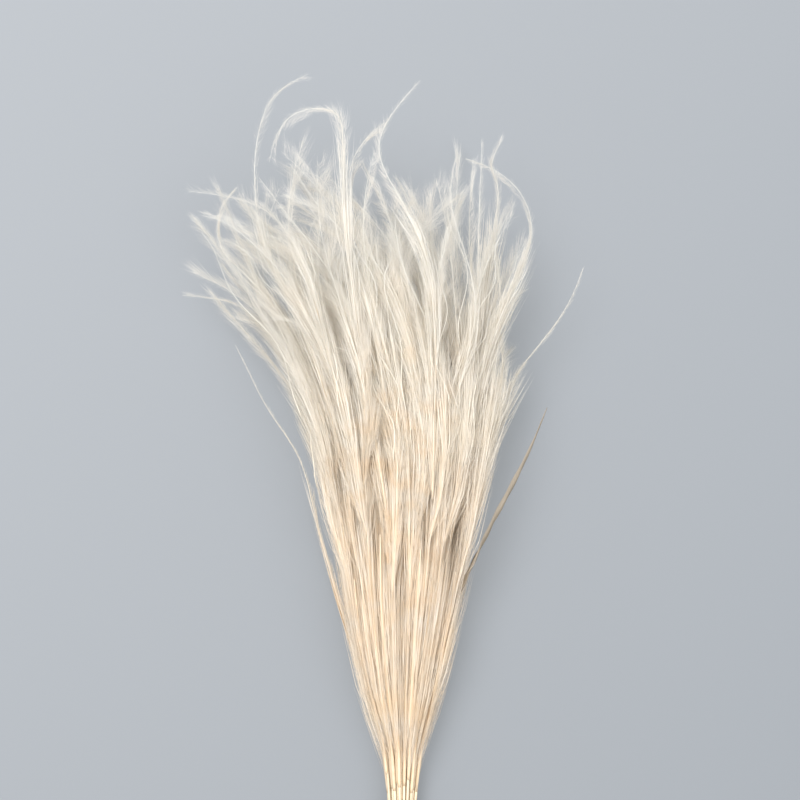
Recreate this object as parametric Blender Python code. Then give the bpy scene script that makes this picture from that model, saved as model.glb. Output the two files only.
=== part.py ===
"""A tied bundle of dried feather grass, lying on its side as picked and dried.

Fifty stems pass through one wound twine tie. Above the tie they fan out, and each stem carries
a few long awns, the feathery bristles that give the grass its name. The outer stems also have a
dry leaf each. Each stem is one solid with the awns and leaf that grow from it.

Frame: +Y runs from the cut ends to the feathery tips, +X to the right as seen from above, and +Z
up from the surface that the bundle lies on. The origin is on that surface, under the middle.
"""

import math

import bmesh
import bpy
import numpy as np

# Driving dimensions, in metres. Bundle coordinates: x from the middle of the tie, y up from the
# cut ends, z above the surface.
ORIGIN = (-0.0153, 0.3362, 0.0)
SEED = 11

STEM_COUNT = 50
STEM_RADIUS = (0.00110, 0.00135)
STEM_TOP_SHARE = 0.70
STEM_SIDES = 5
STEM_HEIGHTS = (0.045, 0.082, 0.094, 0.134, 0.205)
RAGGED_CUT = 0.007

TIE_Y = 0.084
TIE_TURNS = 4
TWINE = 0.0024
WAIST_RADIUS = 0.0134
TIE_SIDES = 24
TIE_HEIGHT = WAIST_RADIUS + TWINE
KNOT_ANGLE = 0.9

AWN_STATIONS = 11
AWN_LENGTH = (0.215, 0.335)
AWN_THICKNESS = 0.0013
SEED_HALF = 0.0009
COLUMN_HALF = 0.0006
PLUME_HALF = (0.0018, 0.0027)
LEAF_STATIONS = 7
LEAF_HALF = (0.0019, 0.0027)
FIRST_LEAFY_STEM = 26

GAP = 0.00035
SETTLE_STEPS = 300
FLOOR_GAP = 0.0010

# Where the bundle rests on the surface beside the tie: near these points, x and y.
FEET = ((-0.056, 0.430), (0.050, 0.430))

# The bundle's outline at distances up from the cut ends: its middle and half width across, and
# its underside and half height.
OUTLINE_Y = (0.000, 0.088, 0.128, 0.176, 0.256, 0.336, 0.416, 0.496, 0.576, 0.676)
MIDDLE_X = (0.002, 0.000, 0.000, -0.001, -0.001, 0.001, 0.001, -0.017, -0.030, -0.040)
HALF_WIDTH = (0.0150, 0.0120, 0.0160, 0.0300, 0.0475, 0.0620, 0.0770, 0.1060, 0.1240, 0.1200)
UNDERSIDE = (0.003, 0.0038, 0.0040, 0.0030, 0.0030, 0.0030, 0.0030, 0.0030, 0.0040, 0.0080)
HALF_HEIGHT = (0.0150, 0.0120, 0.0150, 0.0240, 0.0360, 0.0440, 0.0500, 0.0550, 0.0580, 0.0580)

# The line that most of the awns' tips keep below, as seen from above.
TIP_X = (-0.170, -0.146, -0.106, -0.046, -0.002, 0.030, 0.062, 0.086, 0.104, 0.130)
TIP_Y = (0.5600, 0.5800, 0.6000, 0.6200, 0.5950, 0.6060, 0.6080, 0.5880, 0.5450, 0.4700)

# The awns and leaves that stand out by themselves in the fan, each as the side of the bundle that
# it grows from (0 the underside, 1 the top) and the points that it passes, x and y from its foot.
OUTER_AWNS = {
    "far_left_hook": (0.80, ((-0.075, 0.478), (-0.106, 0.520), (-0.117, 0.568), (-0.119, 0.605),
                             (-0.112, 0.640), (-0.098, 0.662), (-0.074, 0.672))),
    "arched_plume": (0.90, ((-0.040, 0.500), (-0.046, 0.560), (-0.048, 0.602), (-0.045, 0.634),
                            (-0.060, 0.646), (-0.082, 0.644), (-0.100, 0.628), (-0.104, 0.602))),
    "right_hook": (0.90, ((0.026, 0.480), (0.024, 0.520), (0.006, 0.565), (-0.014, 0.592),
                          (-0.020, 0.618), (-0.006, 0.646), (0.014, 0.666))),
    "left_sweep": (0.85, ((-0.052, 0.440), (-0.074, 0.520), (-0.098, 0.560), (-0.126, 0.574),
                          (-0.152, 0.579), (-0.168, 0.580))),
    "left_fold": (0.60, ((-0.062, 0.410), (-0.084, 0.466), (-0.110, 0.505), (-0.135, 0.524),
                         (-0.147, 0.540), (-0.146, 0.568), (-0.134, 0.582))),
    "left_whisker": (0.40, ((-0.062, 0.392), (-0.082, 0.432), (-0.100, 0.460), (-0.119, 0.484),
                            (-0.138, 0.496), (-0.176, 0.500))),
    "left_middle": (0.95, ((-0.050, 0.430), (-0.072, 0.478), (-0.092, 0.514), (-0.115, 0.538),
                           (-0.138, 0.556), (-0.156, 0.560))),
    "left_stray": (0.35, ((-0.050, 0.246), (-0.058, 0.280), (-0.072, 0.322), (-0.075, 0.352),
                          (-0.088, 0.382), (-0.110, 0.408), (-0.122, 0.438), (-0.134, 0.460))),
    "centre_sweep": (0.95, ((-0.012, 0.420), (-0.036, 0.480), (-0.066, 0.532), (-0.096, 0.568),
                            (-0.112, 0.590))),
    "centre_rise": (0.80, ((0.004, 0.430), (-0.010, 0.490), (-0.034, 0.548), (-0.044, 0.592),
                           (-0.030, 0.622), (-0.014, 0.634))),
    "right_loop": (0.90, ((0.040, 0.420), (0.058, 0.464), (0.060, 0.500), (0.048, 0.540),
                          (0.036, 0.572), (0.042, 0.606))),
    "right_arc": (0.70, ((0.062, 0.420), (0.070, 0.470), (0.090, 0.508), (0.104, 0.538),
                         (0.102, 0.568), (0.086, 0.592), (0.064, 0.604), (0.050, 0.607))),
    "right_rise": (0.55, ((0.062, 0.440), (0.064, 0.500), (0.074, 0.548), (0.078, 0.584),
                          (0.070, 0.604), (0.080, 0.624))),
    "right_spire": (0.75, ((0.052, 0.430), (0.060, 0.480), (0.060, 0.540), (0.062, 0.588),
                           (0.063, 0.622))),
    "right_stray": (0.45, ((0.066, 0.372), (0.078, 0.400), (0.090, 0.436), (0.112, 0.462),
                           (0.132, 0.488), (0.142, 0.512), (0.145, 0.522))),
    "crossing_curl": (0.97, ((0.044, 0.400), (0.030, 0.430), (0.022, 0.470), (0.034, 0.504),
                             (0.029, 0.534), (0.036, 0.552))),
    "right_low": (0.60, ((0.066, 0.380), (0.078, 0.424), (0.080, 0.456), (0.072, 0.486),
                         (0.078, 0.520))),
}
OUTER_LEAVES = {
    "right_sheath": (0.55, ((0.042, 0.250), (0.052, 0.276), (0.066, 0.306), (0.084, 0.340),
                            (0.102, 0.376), (0.116, 0.410))),
}


def smooth(y, values):
    """The outline's value at y, on a curve through the values at OUTLINE_Y that turns smoothly."""
    at = np.array(OUTLINE_Y)
    known = np.array(values)
    slope = np.gradient(known, at)
    i = np.clip(np.searchsorted(at, y) - 1, 0, len(at) - 2)
    step = at[i + 1] - at[i]
    t = np.clip((y - at[i]) / step, 0, 1.3)
    return (
        known[i] * (1 + 2 * t) * (1 - t) ** 2
        + known[i + 1] * t * t * (3 - 2 * t)
        + step * t * (1 - t) * (slope[i] * (1 - t) - slope[i + 1] * t)
    )


def in_bundle(a, b, y):
    """The point at height y whose place in the bundle's section is a across and b up, -1 to 1."""
    x = smooth(y, MIDDLE_X) + a * smooth(y, HALF_WIDTH)
    z = smooth(y, UNDERSIDE) + (1 + b) * smooth(y, HALF_HEIGHT)
    return np.stack([x, y + 0 * x, z], axis=-1)


def pressed(a, b, y):
    """The place up the section, b, moved down as the bundle's own weight flattens its underside."""
    below = np.minimum(b, 0)
    flat = np.maximum(below / np.maximum(1 - a * a, 0.04) ** 0.42, -1)
    return b + np.clip((y - 0.125) / 0.16, 0, 1) * (flat - below)


def sunflower(count):
    """count places spread evenly over a disc of radius 1, in a spiral of golden angles."""
    k = np.arange(count)
    radius = np.sqrt((k + 0.5) / count)
    angle = k * math.pi * (3 - math.sqrt(5))
    return radius * np.cos(angle), radius * np.sin(angle)


def through(points, count):
    """count points on a smooth curve through the given points, closer together where it turns.

    The curve is a Catmull-Rom curve. Returns the points and each one's share of its length.
    """
    p = np.vstack([2 * points[0] - points[1], points, 2 * points[-1] - points[-2]])
    t = np.linspace(0, 1, 24, endpoint=False)[:, None]
    fine = [
        0.5 * (2 * b + (c - a) * t + (2 * a - 5 * b + 4 * c - d) * t**2 + (3 * b - a - 3 * c + d) * t**3)
        for a, b, c, d in zip(p, p[1:], p[2:], p[3:])
    ]
    fine = np.vstack([*fine, points[-1:]])
    step = np.diff(fine, axis=0)
    long = np.linalg.norm(step, axis=1)
    along = np.concatenate([[0], np.cumsum(long)])
    way = step / long[:, None]
    turn = np.linalg.norm(np.diff(way, axis=0, append=way[-1:]), axis=1)
    spent = np.concatenate([[0], np.cumsum(long / along[-1] + 0.32 * turn)])
    at = np.interp(np.linspace(0, spent[-1], count), spent, along)
    line = np.stack([np.interp(at, along, fine[:, k]) for k in range(3)], axis=1)
    return line, at / along[-1], along[-1]


class Strand:
    """A stem, an awn or a leaf: the points of its line, and its half width at each of them."""

    def __init__(self, kind, stem, points, half, root_y=None, stiff=1.0, name=""):
        self.kind = kind
        self.stem = stem
        self.points = points
        self.half = half
        self.root_y = root_y
        self.stiff = stiff
        self.name = name


def make_stems(rng):
    """The stems: straight below the tie, spread above it as the outline says."""
    across, up = sunflower(STEM_COUNT)
    stems = []
    for k in range(STEM_COUNT):
        low = rng.uniform(0, RAGGED_CUT)
        top = rng.uniform(0.300, 0.360)
        radius = rng.uniform(*STEM_RADIUS)
        y = np.array([low, *STEM_HEIGHTS, top])
        points = in_bundle(across[k], pressed(across[k], up[k], y), y)
        half = radius * (1 - (1 - STEM_TOP_SHARE) * ((y - low) / (top - low)) ** 1.5)
        stems.append(Strand("stem", k, points, half, stiff=0.6, name=f"stem_{k + 1:02d}"))
    return stems


def awn_half(share, length, widest):
    """Half widths along an awn: its seed at the foot, a bare column, then the plume."""
    plume = np.clip((share - 0.03) / 0.97, 0, 1)
    feather = widest * np.minimum(1, plume / 0.30) ** 0.55 * (1 - plume**2.6) ** 0.9
    seed = SEED_HALF * np.exp(-(((share * length - 0.012) / 0.012) ** 2))
    return np.maximum(COLUMN_HALF * (1 - 0.25 * share), np.maximum(feather, seed))


def leaf_half(share, widest):
    """Half widths along a dry leaf: widest a third of the way up, drawn out to a point."""
    return np.maximum(widest * np.sin(math.pi * (0.06 + 0.94 * share) ** 0.75) ** 0.8, 0.0005)


def thickness(half):
    """How thick an awn or a leaf is where it is half wide on each side."""
    return np.minimum(AWN_THICKNESS, 1.7 * half)


def stem_at(stem, y):
    """The point of a stem's line at height y."""
    line = stem.points
    return np.array([np.interp(y, line[:, 1], line[:, k]) for k in range(3)])


def section_place(p):
    """Where points lie in the bundle's own section: across and up, both from -1 to 1."""
    a = (p[:, 0] - smooth(p[:, 1], MIDDLE_X)) / smooth(p[:, 1], HALF_WIDTH)
    b = (p[:, 2] - smooth(p[:, 1], UNDERSIDE)) / smooth(p[:, 1], HALF_HEIGHT) - 1
    return a, b


def awn_lanes(rng, stems, taken):
    """The stem, the order on it and the root height of every awn that fills the fan."""
    lanes = []
    for k, stem in enumerate(stems):
        for j in range(3 - taken.get(k, 0) - (k % 5 == 4)):
            root = stem.points[-1, 1] - 0.003 - (0.035 + 0.012 * rng.random()) * j
            lanes.append((k, j, root))
    return lanes


def trimmed(path, spare):
    """An awn's path up to the line of the tips, or to some way past it, but never less than half."""
    over = np.flatnonzero(path[:, 1] > np.interp(path[:, 0], TIP_X, TIP_Y) + spare)
    end = max(over[0], len(path) // 2) if len(over) else len(path)
    return path[:end]


def grown_awns(rng, stems, taken):
    """The awns that fill the fan: each leaves its stem, keeps its own lane and curls at the tip."""
    lanes = awn_lanes(rng, stems, taken)
    count = len(lanes)
    owner = np.array([k for k, _, _ in lanes])
    order = np.array([j for _, j, _ in lanes])
    across, up = sunflower(STEM_COUNT)
    turn = rng.uniform(0, 2 * math.pi, STEM_COUNT)[owner] + order * 2.1
    a_goal = np.clip(across[owner] * 1.02 + 0.13 * np.cos(turn), -1, 1)
    b_goal = np.clip(up[owner] * 1.02 + 0.13 * np.sin(turn), -1, 1)
    b_goal = pressed(np.clip(a_goal, -0.97, 0.97), b_goal, 1.0)
    length = rng.uniform(*AWN_LENGTH, count)
    phase = rng.uniform(-0.5, 0.5, (2, count)) + np.stack([3.2 * a_goal + 1.4 * b_goal, 2.6 * b_goal])
    sway = rng.uniform(0.10, 0.28, (2, count))
    left, right = a_goal < -0.30, a_goal > 0.40
    side = np.where(left, rng.choice([-1.0, 0.8], count, p=[0.72, 0.28]),
                    np.where(right, rng.choice([-1.0, 0.7], count, p=[0.65, 0.35]),
                             rng.choice([-1.0, 0.8], count, p=[0.55, 0.45])))
    curl = side * rng.uniform(0.45, 1.35, count) * np.where(np.abs(a_goal) > 0.8, 0.65, 1.0)
    curl_up = np.clip(rng.normal(0, 0.45, count), -0.8, 0.8) - 0.35 * b_goal
    p = np.array([stem_at(stems[k], y) for k, _, y in lanes])
    paths = [p]
    steps = 60
    for i in range(steps):
        t = i / steps
        a, b = section_place(p)
        wide, high = np.clip(a, -1.2, 1.2), np.clip(b, -1.0, 1.2)
        slope = (in_bundle(wide, high, p[:, 1] + 0.004) - in_bundle(wide, high, p[:, 1] - 0.004)) / 0.008
        grown = min(1.0, 4 * t)
        bend = max(0.0, (t - 0.42) / 0.58) ** 1.6
        yaw = np.arctan(slope[:, 0]) + (1 - t) * np.clip((a_goal - a) * 1.8, -0.40, 0.40)
        pitch = np.arctan(slope[:, 2]) + (1 - t) * np.clip((b_goal - b) * 1.3, -0.30, 0.30)
        yaw += grown * sway[0] * np.sin(phase[0] + 5.2 * t) + curl * bend
        yaw = np.clip(yaw, -1.25, 1.25)
        pitch += grown * sway[1] * np.sin(phase[1] + 4.6 * t) * 0.7 + curl_up * bend
        way = np.stack([np.sin(yaw) * np.cos(pitch), np.cos(yaw) * np.cos(pitch), np.sin(pitch)], axis=1)
        p = p + way * (length / steps)[:, None]
        paths.append(p)
    paths = np.stack(paths, axis=1)
    awns = []
    for n, (k, j, root_y) in enumerate(lanes):
        line, share, long = through(trimmed(paths[n], 0.014 * math.sin(7 * n)), AWN_STATIONS)
        half = awn_half(share, long, rng.uniform(*PLUME_HALF))
        awns.append(Strand("awn", k, line, half, root_y, 1.0, f"awn_{k + 1:02d}_{j + 1}"))
    return awns


def grown_leaves(rng, stems):
    """A dry leaf on each outer stem, running up the outside of the bundle beside it."""
    across, up = sunflower(STEM_COUNT)
    leaves = []
    for k in range(FIRST_LEAFY_STEM, STEM_COUNT):
        foot = rng.uniform(0.118, 0.140)
        long = rng.uniform(0.13, 0.20)
        aside = rng.choice([-1, 1]) * rng.uniform(0.10, 0.18)
        share = np.linspace(0, 1, 8)
        y = foot + long * share
        turn = math.atan2(up[k], across[k]) + aside * np.minimum(1, share / 0.25)
        out = math.hypot(across[k], up[k]) * (1 + 0.04 * np.sin(math.pi * share))
        a, b = out * np.cos(turn), out * np.sin(turn)
        points = in_bundle(a, pressed(a, b, y), y)
        points[0] = stem_at(stems[k], foot)
        line, share, _ = through(points, LEAF_STATIONS)
        half = leaf_half(share, rng.uniform(*LEAF_HALF))
        leaves.append(Strand("leaf", k, line, half, foot, 0.8, f"leaf_{k + 1:02d}"))
    return leaves


def nearest_stem(stems, side, point, taken):
    """The stem whose place in the section is nearest to a guide's foot, among those with room."""
    def miss(stem):
        at = stem_at(stem, min(point[1] - 0.04, stem.points[-1, 1] - 0.01))[None]
        foot = np.array([[point[0], point[1], 0.0]])
        away_a = section_place(at)[0][0] - section_place(foot)[0][0]
        away_b = section_place(at)[1][0] - (2 * side - 1)
        return away_a**2 + 0.5 * away_b**2 + 0.6 * taken.get(stem.stem, 0)
    return min(stems, key=miss)


def guided(kind, guides, stems, taken):
    """The strands that stand out by themselves, each along its own points."""
    made = []
    for name, (side, points) in guides.items():
        flat = np.array(points)
        stem = nearest_stem(stems, side, flat[0], taken)
        taken[stem.stem] = taken.get(stem.stem, 0) + 1
        back = 0.085 if kind == "awn" else 0.060
        root_y = min(flat[0, 1] - back, stem.points[-1, 1] - 0.004)
        root = stem_at(stem, root_y)
        foot_b = section_place(root[None])[1][0]
        b = foot_b + (2 * side - 1 - foot_b) * np.linspace(0.15, 1, len(flat))
        z = smooth(flat[:, 1], UNDERSIDE) + (1 + b) * smooth(flat[:, 1], HALF_HEIGHT)
        line = np.vstack([root, np.column_stack([flat, z])])
        path, share, long = through(line, AWN_STATIONS + 3 if kind == "awn" else LEAF_STATIONS + 1)
        if kind == "awn":
            half = awn_half(share, long, PLUME_HALF[1])
        else:
            half = leaf_half(share, 1.2 * LEAF_HALF[1])
        made.append(Strand(kind, stem.stem, path, half, root_y, 0.3, name))
    return made


class Tangle:
    """All the strands as one set of points and segments, moved until every strand is clear."""

    def __init__(self, strands):
        self.strands = strands
        self.at = np.vstack([s.points for s in strands])
        self.start = self.at.copy()
        self.reach = np.concatenate([np.hypot(s.half, thickness(s.half) / 3) for s in strands])
        sizes = [len(s.points) for s in strands]
        first = np.concatenate([[0], np.cumsum(sizes)[:-1]])
        self.first = first
        self.owner = np.repeat(np.arange(len(strands)), sizes)
        self.stem = np.array([s.stem for s in strands])[self.owner]
        self.stiff = np.array([s.stiff for s in strands])[self.owner]
        last = np.zeros(len(self.at), bool)
        last[first + np.array(sizes) - 1] = True
        self.low = np.flatnonzero(~last)
        self.station = np.arange(len(self.at)) - first[self.owner]
        self.inner = np.flatnonzero(~last & (self.station > 0))
        self.ends = np.flatnonzero(last)
        self.link()

    def link(self):
        """Ties the first point of each awn and leaf to the line of its stem."""
        below, share, tied = [], [], []
        stems = {s.stem: n for n, s in enumerate(self.strands) if s.kind == "stem"}
        for n, strand in enumerate(self.strands):
            if strand.kind == "stem":
                continue
            host = stems[strand.stem]
            line = self.strands[host].points[:, 1]
            i = min(np.searchsorted(line, strand.root_y) - 1, len(line) - 2)
            tied.append(self.first[n])
            below.append(self.first[host] + i)
            share.append((strand.root_y - line[i]) / (line[i + 1] - line[i]))
        self.tied, self.below = np.array(tied), np.array(below)
        self.share = np.array(share)[:, None]

    def near_pairs(self, reach):
        """Pairs of segments that may come within reach, and not a strand with its own root."""
        a, b = self.at[self.low], self.at[self.low + 1]
        middle = (a + b) / 2
        long = np.linalg.norm(b - a, axis=1) / 2
        order = np.argsort(middle[:, 1] - long)
        bottom, top = (middle[:, 1] - long)[order], (middle[:, 1] + long)[order]
        stop = np.searchsorted(bottom, top + reach)
        counts = np.maximum(stop - np.arange(len(order)) - 1, 0)
        i = np.repeat(np.arange(len(order)), counts)
        j = np.arange(counts.sum()) - np.repeat(np.cumsum(counts) - counts, counts) + i + 1
        i, j = order[i], order[j]
        far = np.linalg.norm(middle[i] - middle[j], axis=1) - long[i] - long[j]
        i, j = self.low[i[far < reach]], self.low[j[far < reach]]
        same = self.owner[i] == self.owner[j]
        rooted = (self.stem[i] == self.stem[j]) & (np.minimum(self.root_steps(i), self.root_steps(j)) < 3)
        keep = ~same & ~rooted
        return i[keep], j[keep]

    def root_steps(self, i):
        """Stations from the root, counted as none on a stem."""
        return np.where(self.is_stem(i), 0, self.station[i])

    def is_stem(self, i):
        return self.owner[i] < STEM_COUNT

    def closest(self, i, j):
        """For pairs of segments, the shares along each at which they come closest."""
        p, q = self.at[i], self.at[j]
        u, v = self.at[i + 1] - p, self.at[j + 1] - q
        w = p - q
        uu, uv, vv = (u * u).sum(1), (u * v).sum(1), (v * v).sum(1)
        uw, vw = (u * w).sum(1), (v * w).sum(1)
        det = uu * vv - uv * uv
        s = np.clip((uv * vw - vv * uw) / np.maximum(det, 1e-12 * uu * vv + 1e-18), 0, 1)
        t = np.clip((uv * s + vw) / vv, 0, 1)
        s = np.clip((uv * t - uw) / uu, 0, 1)
        return s[:, None], t[:, None]

    def overlaps(self, i, j):
        """How far each pair is from being clear, and the way in which to part it."""
        s, t = self.closest(i, j)
        p = self.at[i] * (1 - s) + self.at[i + 1] * s
        q = self.at[j] * (1 - t) + self.at[j + 1] * t
        apart = p - q
        distance = np.linalg.norm(apart, axis=1)
        radius = self.reach[i] * (1 - s[:, 0]) + self.reach[i + 1] * s[:, 0]
        radius += self.reach[j] * (1 - t[:, 0]) + self.reach[j + 1] * t[:, 0]
        miss = radius + GAP - distance
        return s, t, miss, apart / np.maximum(distance, 1e-6)[:, None]

    def push_apart(self, i, j, strength):
        """Pushes the pairs that overlap apart, each segment by its share of the work."""
        s, t, miss, way = self.overlaps(i, j)
        hit = miss > 0
        i, j, s, t, way = i[hit], j[hit], s[hit], t[hit], way[hit]
        mine, yours = self.stiff[i][:, None], self.stiff[j][:, None]
        push = way * (miss[hit] * strength)[:, None]
        move = np.zeros_like(self.at)
        count = np.zeros(len(self.at))
        for k, share, duty in ((i, s, mine / (mine + yours)), (j, t, -yours / (mine + yours))):
            spread = (1 - share) ** 2 + share**2
            np.add.at(move, k, push * duty * (1 - share) / spread)
            np.add.at(move, k + 1, push * duty * share / spread)
            np.add.at(count, k, (1 - share[:, 0]))
            np.add.at(count, k + 1, share[:, 0])
        self.at += move / np.maximum(count, 1.0)[:, None] ** 0.6

    def ease(self, amount):
        """Spreads each strand's movement along it, so that it bends gently."""
        moved = self.at - self.start
        k = self.inner
        middle = (moved[k - 1] + moved[k + 1]) / 2
        moved[k] += amount * (middle - moved[k])
        e = self.ends
        moved[e] += amount * (2 * moved[e - 1] - moved[e - 2] - moved[e]) * 0.3
        self.at = self.start + moved

    def hold(self):
        """Keeps the strands off the surface, inside the tie, and rooted on their stems."""
        floor = FLOOR_GAP + self.reach
        self.at[:, 2] = np.maximum(self.at[:, 2], floor)
        bound = np.abs(self.start[:, 1] - TIE_Y) < 0.011
        waist = np.flatnonzero(bound & (self.owner < STEM_COUNT))
        away = self.at[waist][:, [0, 2]] - [0, TIE_HEIGHT]
        out = np.linalg.norm(away, axis=1)
        most = WAIST_RADIUS - GAP - self.reach[waist]
        inside = away * np.minimum(1, most / np.maximum(out, 1e-9))[:, None]
        self.at[waist, 0] = inside[:, 0]
        self.at[waist, 2] = inside[:, 1] + TIE_HEIGHT
        self.at[self.tied] = self.at[self.below] * (1 - self.share) + self.at[self.below + 1] * self.share

    def settle(self):
        """Moves everything until no two strands are closer than the gap."""
        for step in range(SETTLE_STEPS):
            if step % 10 == 0:
                pairs = self.near_pairs(0.010)
            self.push_apart(*pairs, 0.9)
            self.ease(0.30 * max(0.0, 1 - 1.25 * step / SETTLE_STEPS))
            self.hold()
        for n, strand in enumerate(self.strands):
            strand.points = self.at[self.first[n]:self.first[n] + len(strand.points)]


def layout():
    """Every strand of the bundle, settled clear of the others."""
    rng = np.random.default_rng(SEED)
    stems = make_stems(rng)
    taken = {}
    others = guided("awn", OUTER_AWNS, stems, taken)
    others += guided("leaf", OUTER_LEAVES, stems, {})
    others += grown_awns(rng, stems, taken)
    others += grown_leaves(rng, stems)
    tangle = Tangle(stems + others)
    tangle.settle()
    return tangle.strands


def frames(line):
    """The outward and sideways directions at each point, turning as little as the line allows."""
    way = np.gradient(line, axis=0)
    way /= np.linalg.norm(way, axis=1)[:, None]
    out = line[0] - in_bundle(0, 0, line[0, 1]) + [0, 0, 0.0015]
    outs = []
    for direction in way:
        out = out - direction * (out @ direction)
        out = out / np.linalg.norm(out)
        outs.append(out)
    outs = np.array(outs)
    return outs, np.cross(way, outs)


def rings(strand):
    """The corners of the strand's section at each station: round on a stem, keeled on a blade."""
    out, side = frames(strand.points)
    half = strand.half[:, None, None]
    if strand.kind == "stem":
        angle = 2 * math.pi * np.arange(STEM_SIDES) / STEM_SIDES
        u, v = half * np.cos(angle)[None, :, None], half * np.sin(angle)[None, :, None]
    else:
        thick = thickness(half)
        u = thick * np.array([2 / 3, -1 / 3, -1 / 3])[None, :, None]
        v = half * np.array([0.0, 1.0, -1.0])[None, :, None]
    return strand.points[:, None] + out[:, None] * u + side[:, None] * v


def mesh_of_rings(name, ring):
    """A closed mesh through rings of corners, every side split along the same diagonal."""
    stations, sides = ring.shape[:2]
    i, j = np.meshgrid(np.arange(stations - 1), np.arange(sides), indexing="ij")
    a, b = i * sides + j, i * sides + (j + 1) % sides
    split = np.stack([a, b, b + sides, a, b + sides, a + sides], axis=-1).reshape(-1, 3)
    last = (stations - 1) * sides
    faces = [*split.tolist(), list(range(sides))[::-1], list(range(last, last + sides))]
    mesh = bpy.data.meshes.new(name)
    mesh.from_pydata((ring.reshape(-1, 3) - ORIGIN).tolist(), [], faces)
    if sides > 3:
        mesh.shade_smooth()
    return mesh


def outward(mesh):
    """Turns every face of a closed mesh outward."""
    work = bmesh.new()
    work.from_mesh(mesh)
    bmesh.ops.recalc_face_normals(work, faces=work.faces)
    work.to_mesh(mesh)
    work.free()


def add_object(name, mesh, material):
    outward(mesh)
    mesh.materials.append(material)
    thing = bpy.data.objects.new(name, mesh)
    bpy.context.scene.collection.objects.link(thing)
    return thing


def join(name, base, others):
    """Makes one solid of an object and those that grow from it."""
    group = bpy.data.collections.new(name + "_parts")
    for other in others:
        bpy.context.scene.collection.objects.unlink(other)
        group.objects.link(other)
    union = base.modifiers.new("union", "BOOLEAN")
    union.operation = "UNION"
    union.operand_type = "COLLECTION"
    union.collection = group
    union.solver = "EXACT"
    seen = bpy.context.evaluated_depsgraph_get()
    joined = bpy.data.meshes.new_from_object(base.evaluated_get(seen))
    base.modifiers.clear()
    base.data = joined
    for other in others:
        bpy.data.objects.remove(other)
    bpy.data.collections.remove(group)


def material(name, colour, roughness):
    """A plain surface of one colour, linear red, green and blue."""
    made = bpy.data.materials.new(name)
    made.use_nodes = True
    surface = made.node_tree.nodes["Principled BSDF"]
    surface.inputs["Base Color"].default_value = (*colour, 1.0)
    surface.inputs["Roughness"].default_value = roughness
    surface.inputs["Metallic"].default_value = 0.0
    made.diffuse_color = (*colour, 1.0)
    return made


def dried_grass():
    return material("dried_grass", (0.76, 0.68, 0.53), 0.75)


def jute():
    return material("jute_twine", (0.42, 0.29, 0.16), 0.90)


def lowest_near(strands, place):
    """The strand and station near a place on the surface that lies closest to the surface."""
    best = None
    for strand in strands:
        if strand.kind == "awn":
            for k in range(3, len(strand.points) - 2):
                away = math.dist(strand.points[k, :2], place)
                cost = strand.points[k, 2] + 0.08 * away
                if strand.half[k] > 0.0012 and (best is None or cost < best[0]):
                    best = (cost, strand, k)
    return best[1:]


def add_sprays(strands, straw):
    """One solid for each stem with all that grows from it."""
    feet = [lowest_near(strands, place) for place in FEET]
    for stem in strands[:STEM_COUNT]:
        grown = []
        for strand in strands:
            if strand.stem != stem.stem:
                continue
            ring = rings(strand)
            for foot, k in feet:
                if foot is strand:
                    ring[k, :, 2] -= ring[k, :, 2].min()
            name = f"spray_{stem.stem + 1:02d}" if strand is stem else strand.name
            grown.append(add_object(name, mesh_of_rings(name, ring), straw))
        join(grown[0].name, grown[0], grown[1:])


def tie_profile():
    """Distances along and out from the tie's axis, round its section: the turns, then the bore."""
    pitch = TWINE * 1.04
    low = TIE_Y - TIE_TURNS * pitch / 2
    crown = WAIST_RADIUS + TWINE
    valley = WAIST_RADIUS + 0.45 * TWINE
    points = [(low, valley)]
    for k in range(TIE_TURNS):
        foot = low + k * pitch
        points += [(foot + 0.25 * pitch, crown), (foot + 0.75 * pitch, crown), (foot + pitch, valley)]
    return points + [(low + TIE_TURNS * pitch, WAIST_RADIUS), (low, WAIST_RADIUS)]


def tie_ring(twine):
    """The turns of twine as one ribbed ring with a flat facet underneath."""
    profile = np.array(tie_profile())
    angle = 2 * math.pi * (np.arange(TIE_SIDES) + 0.5) / TIE_SIDES - math.pi / 2
    radius = profile[None, :, 1] / math.cos(math.pi / TIE_SIDES)
    x = radius * np.cos(angle)[:, None]
    z = TIE_HEIGHT + radius * np.sin(angle)[:, None]
    y = np.broadcast_to(profile[None, :, 0], x.shape)
    grid = np.stack([x, y, z], axis=-1)
    sides, count = x.shape
    i, j = np.meshgrid(np.arange(sides), np.arange(count), indexing="ij")
    a, b = i * count + j, i * count + (j + 1) % count
    c, d = (i + 1) % sides * count + (j + 1) % count, (i + 1) % sides * count + j
    faces = np.stack([a, b, c, d], axis=-1).reshape(-1, 4)
    mesh = bpy.data.meshes.new("tie")
    mesh.from_pydata((grid.reshape(-1, 3) - ORIGIN).tolist(), [], faces.tolist())
    mesh.shade_smooth()
    return add_object("tie", mesh, twine)


def twine_run(name, points, radius, twine):
    """A short length of twine along a curve, as a six-sided rod."""
    line, share, _ = through(np.array(points), 7)
    out, side = frames(line)
    angle = 2 * math.pi * np.arange(6) / 6
    wide = radius * (1 - 0.12 * share)[:, None, None]
    u, v = wide * np.cos(angle)[None, :, None], wide * np.sin(angle)[None, :, None]
    ring = line[:, None] + out[:, None] * u + side[:, None] * v
    return add_object(name, mesh_of_rings(name, ring), twine)


def round_tie(angle, radius, y):
    """A point at an angle round the tie's axis, measured from +X towards the top."""
    return (radius * math.cos(angle), y, TIE_HEIGHT + radius * math.sin(angle))


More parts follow.
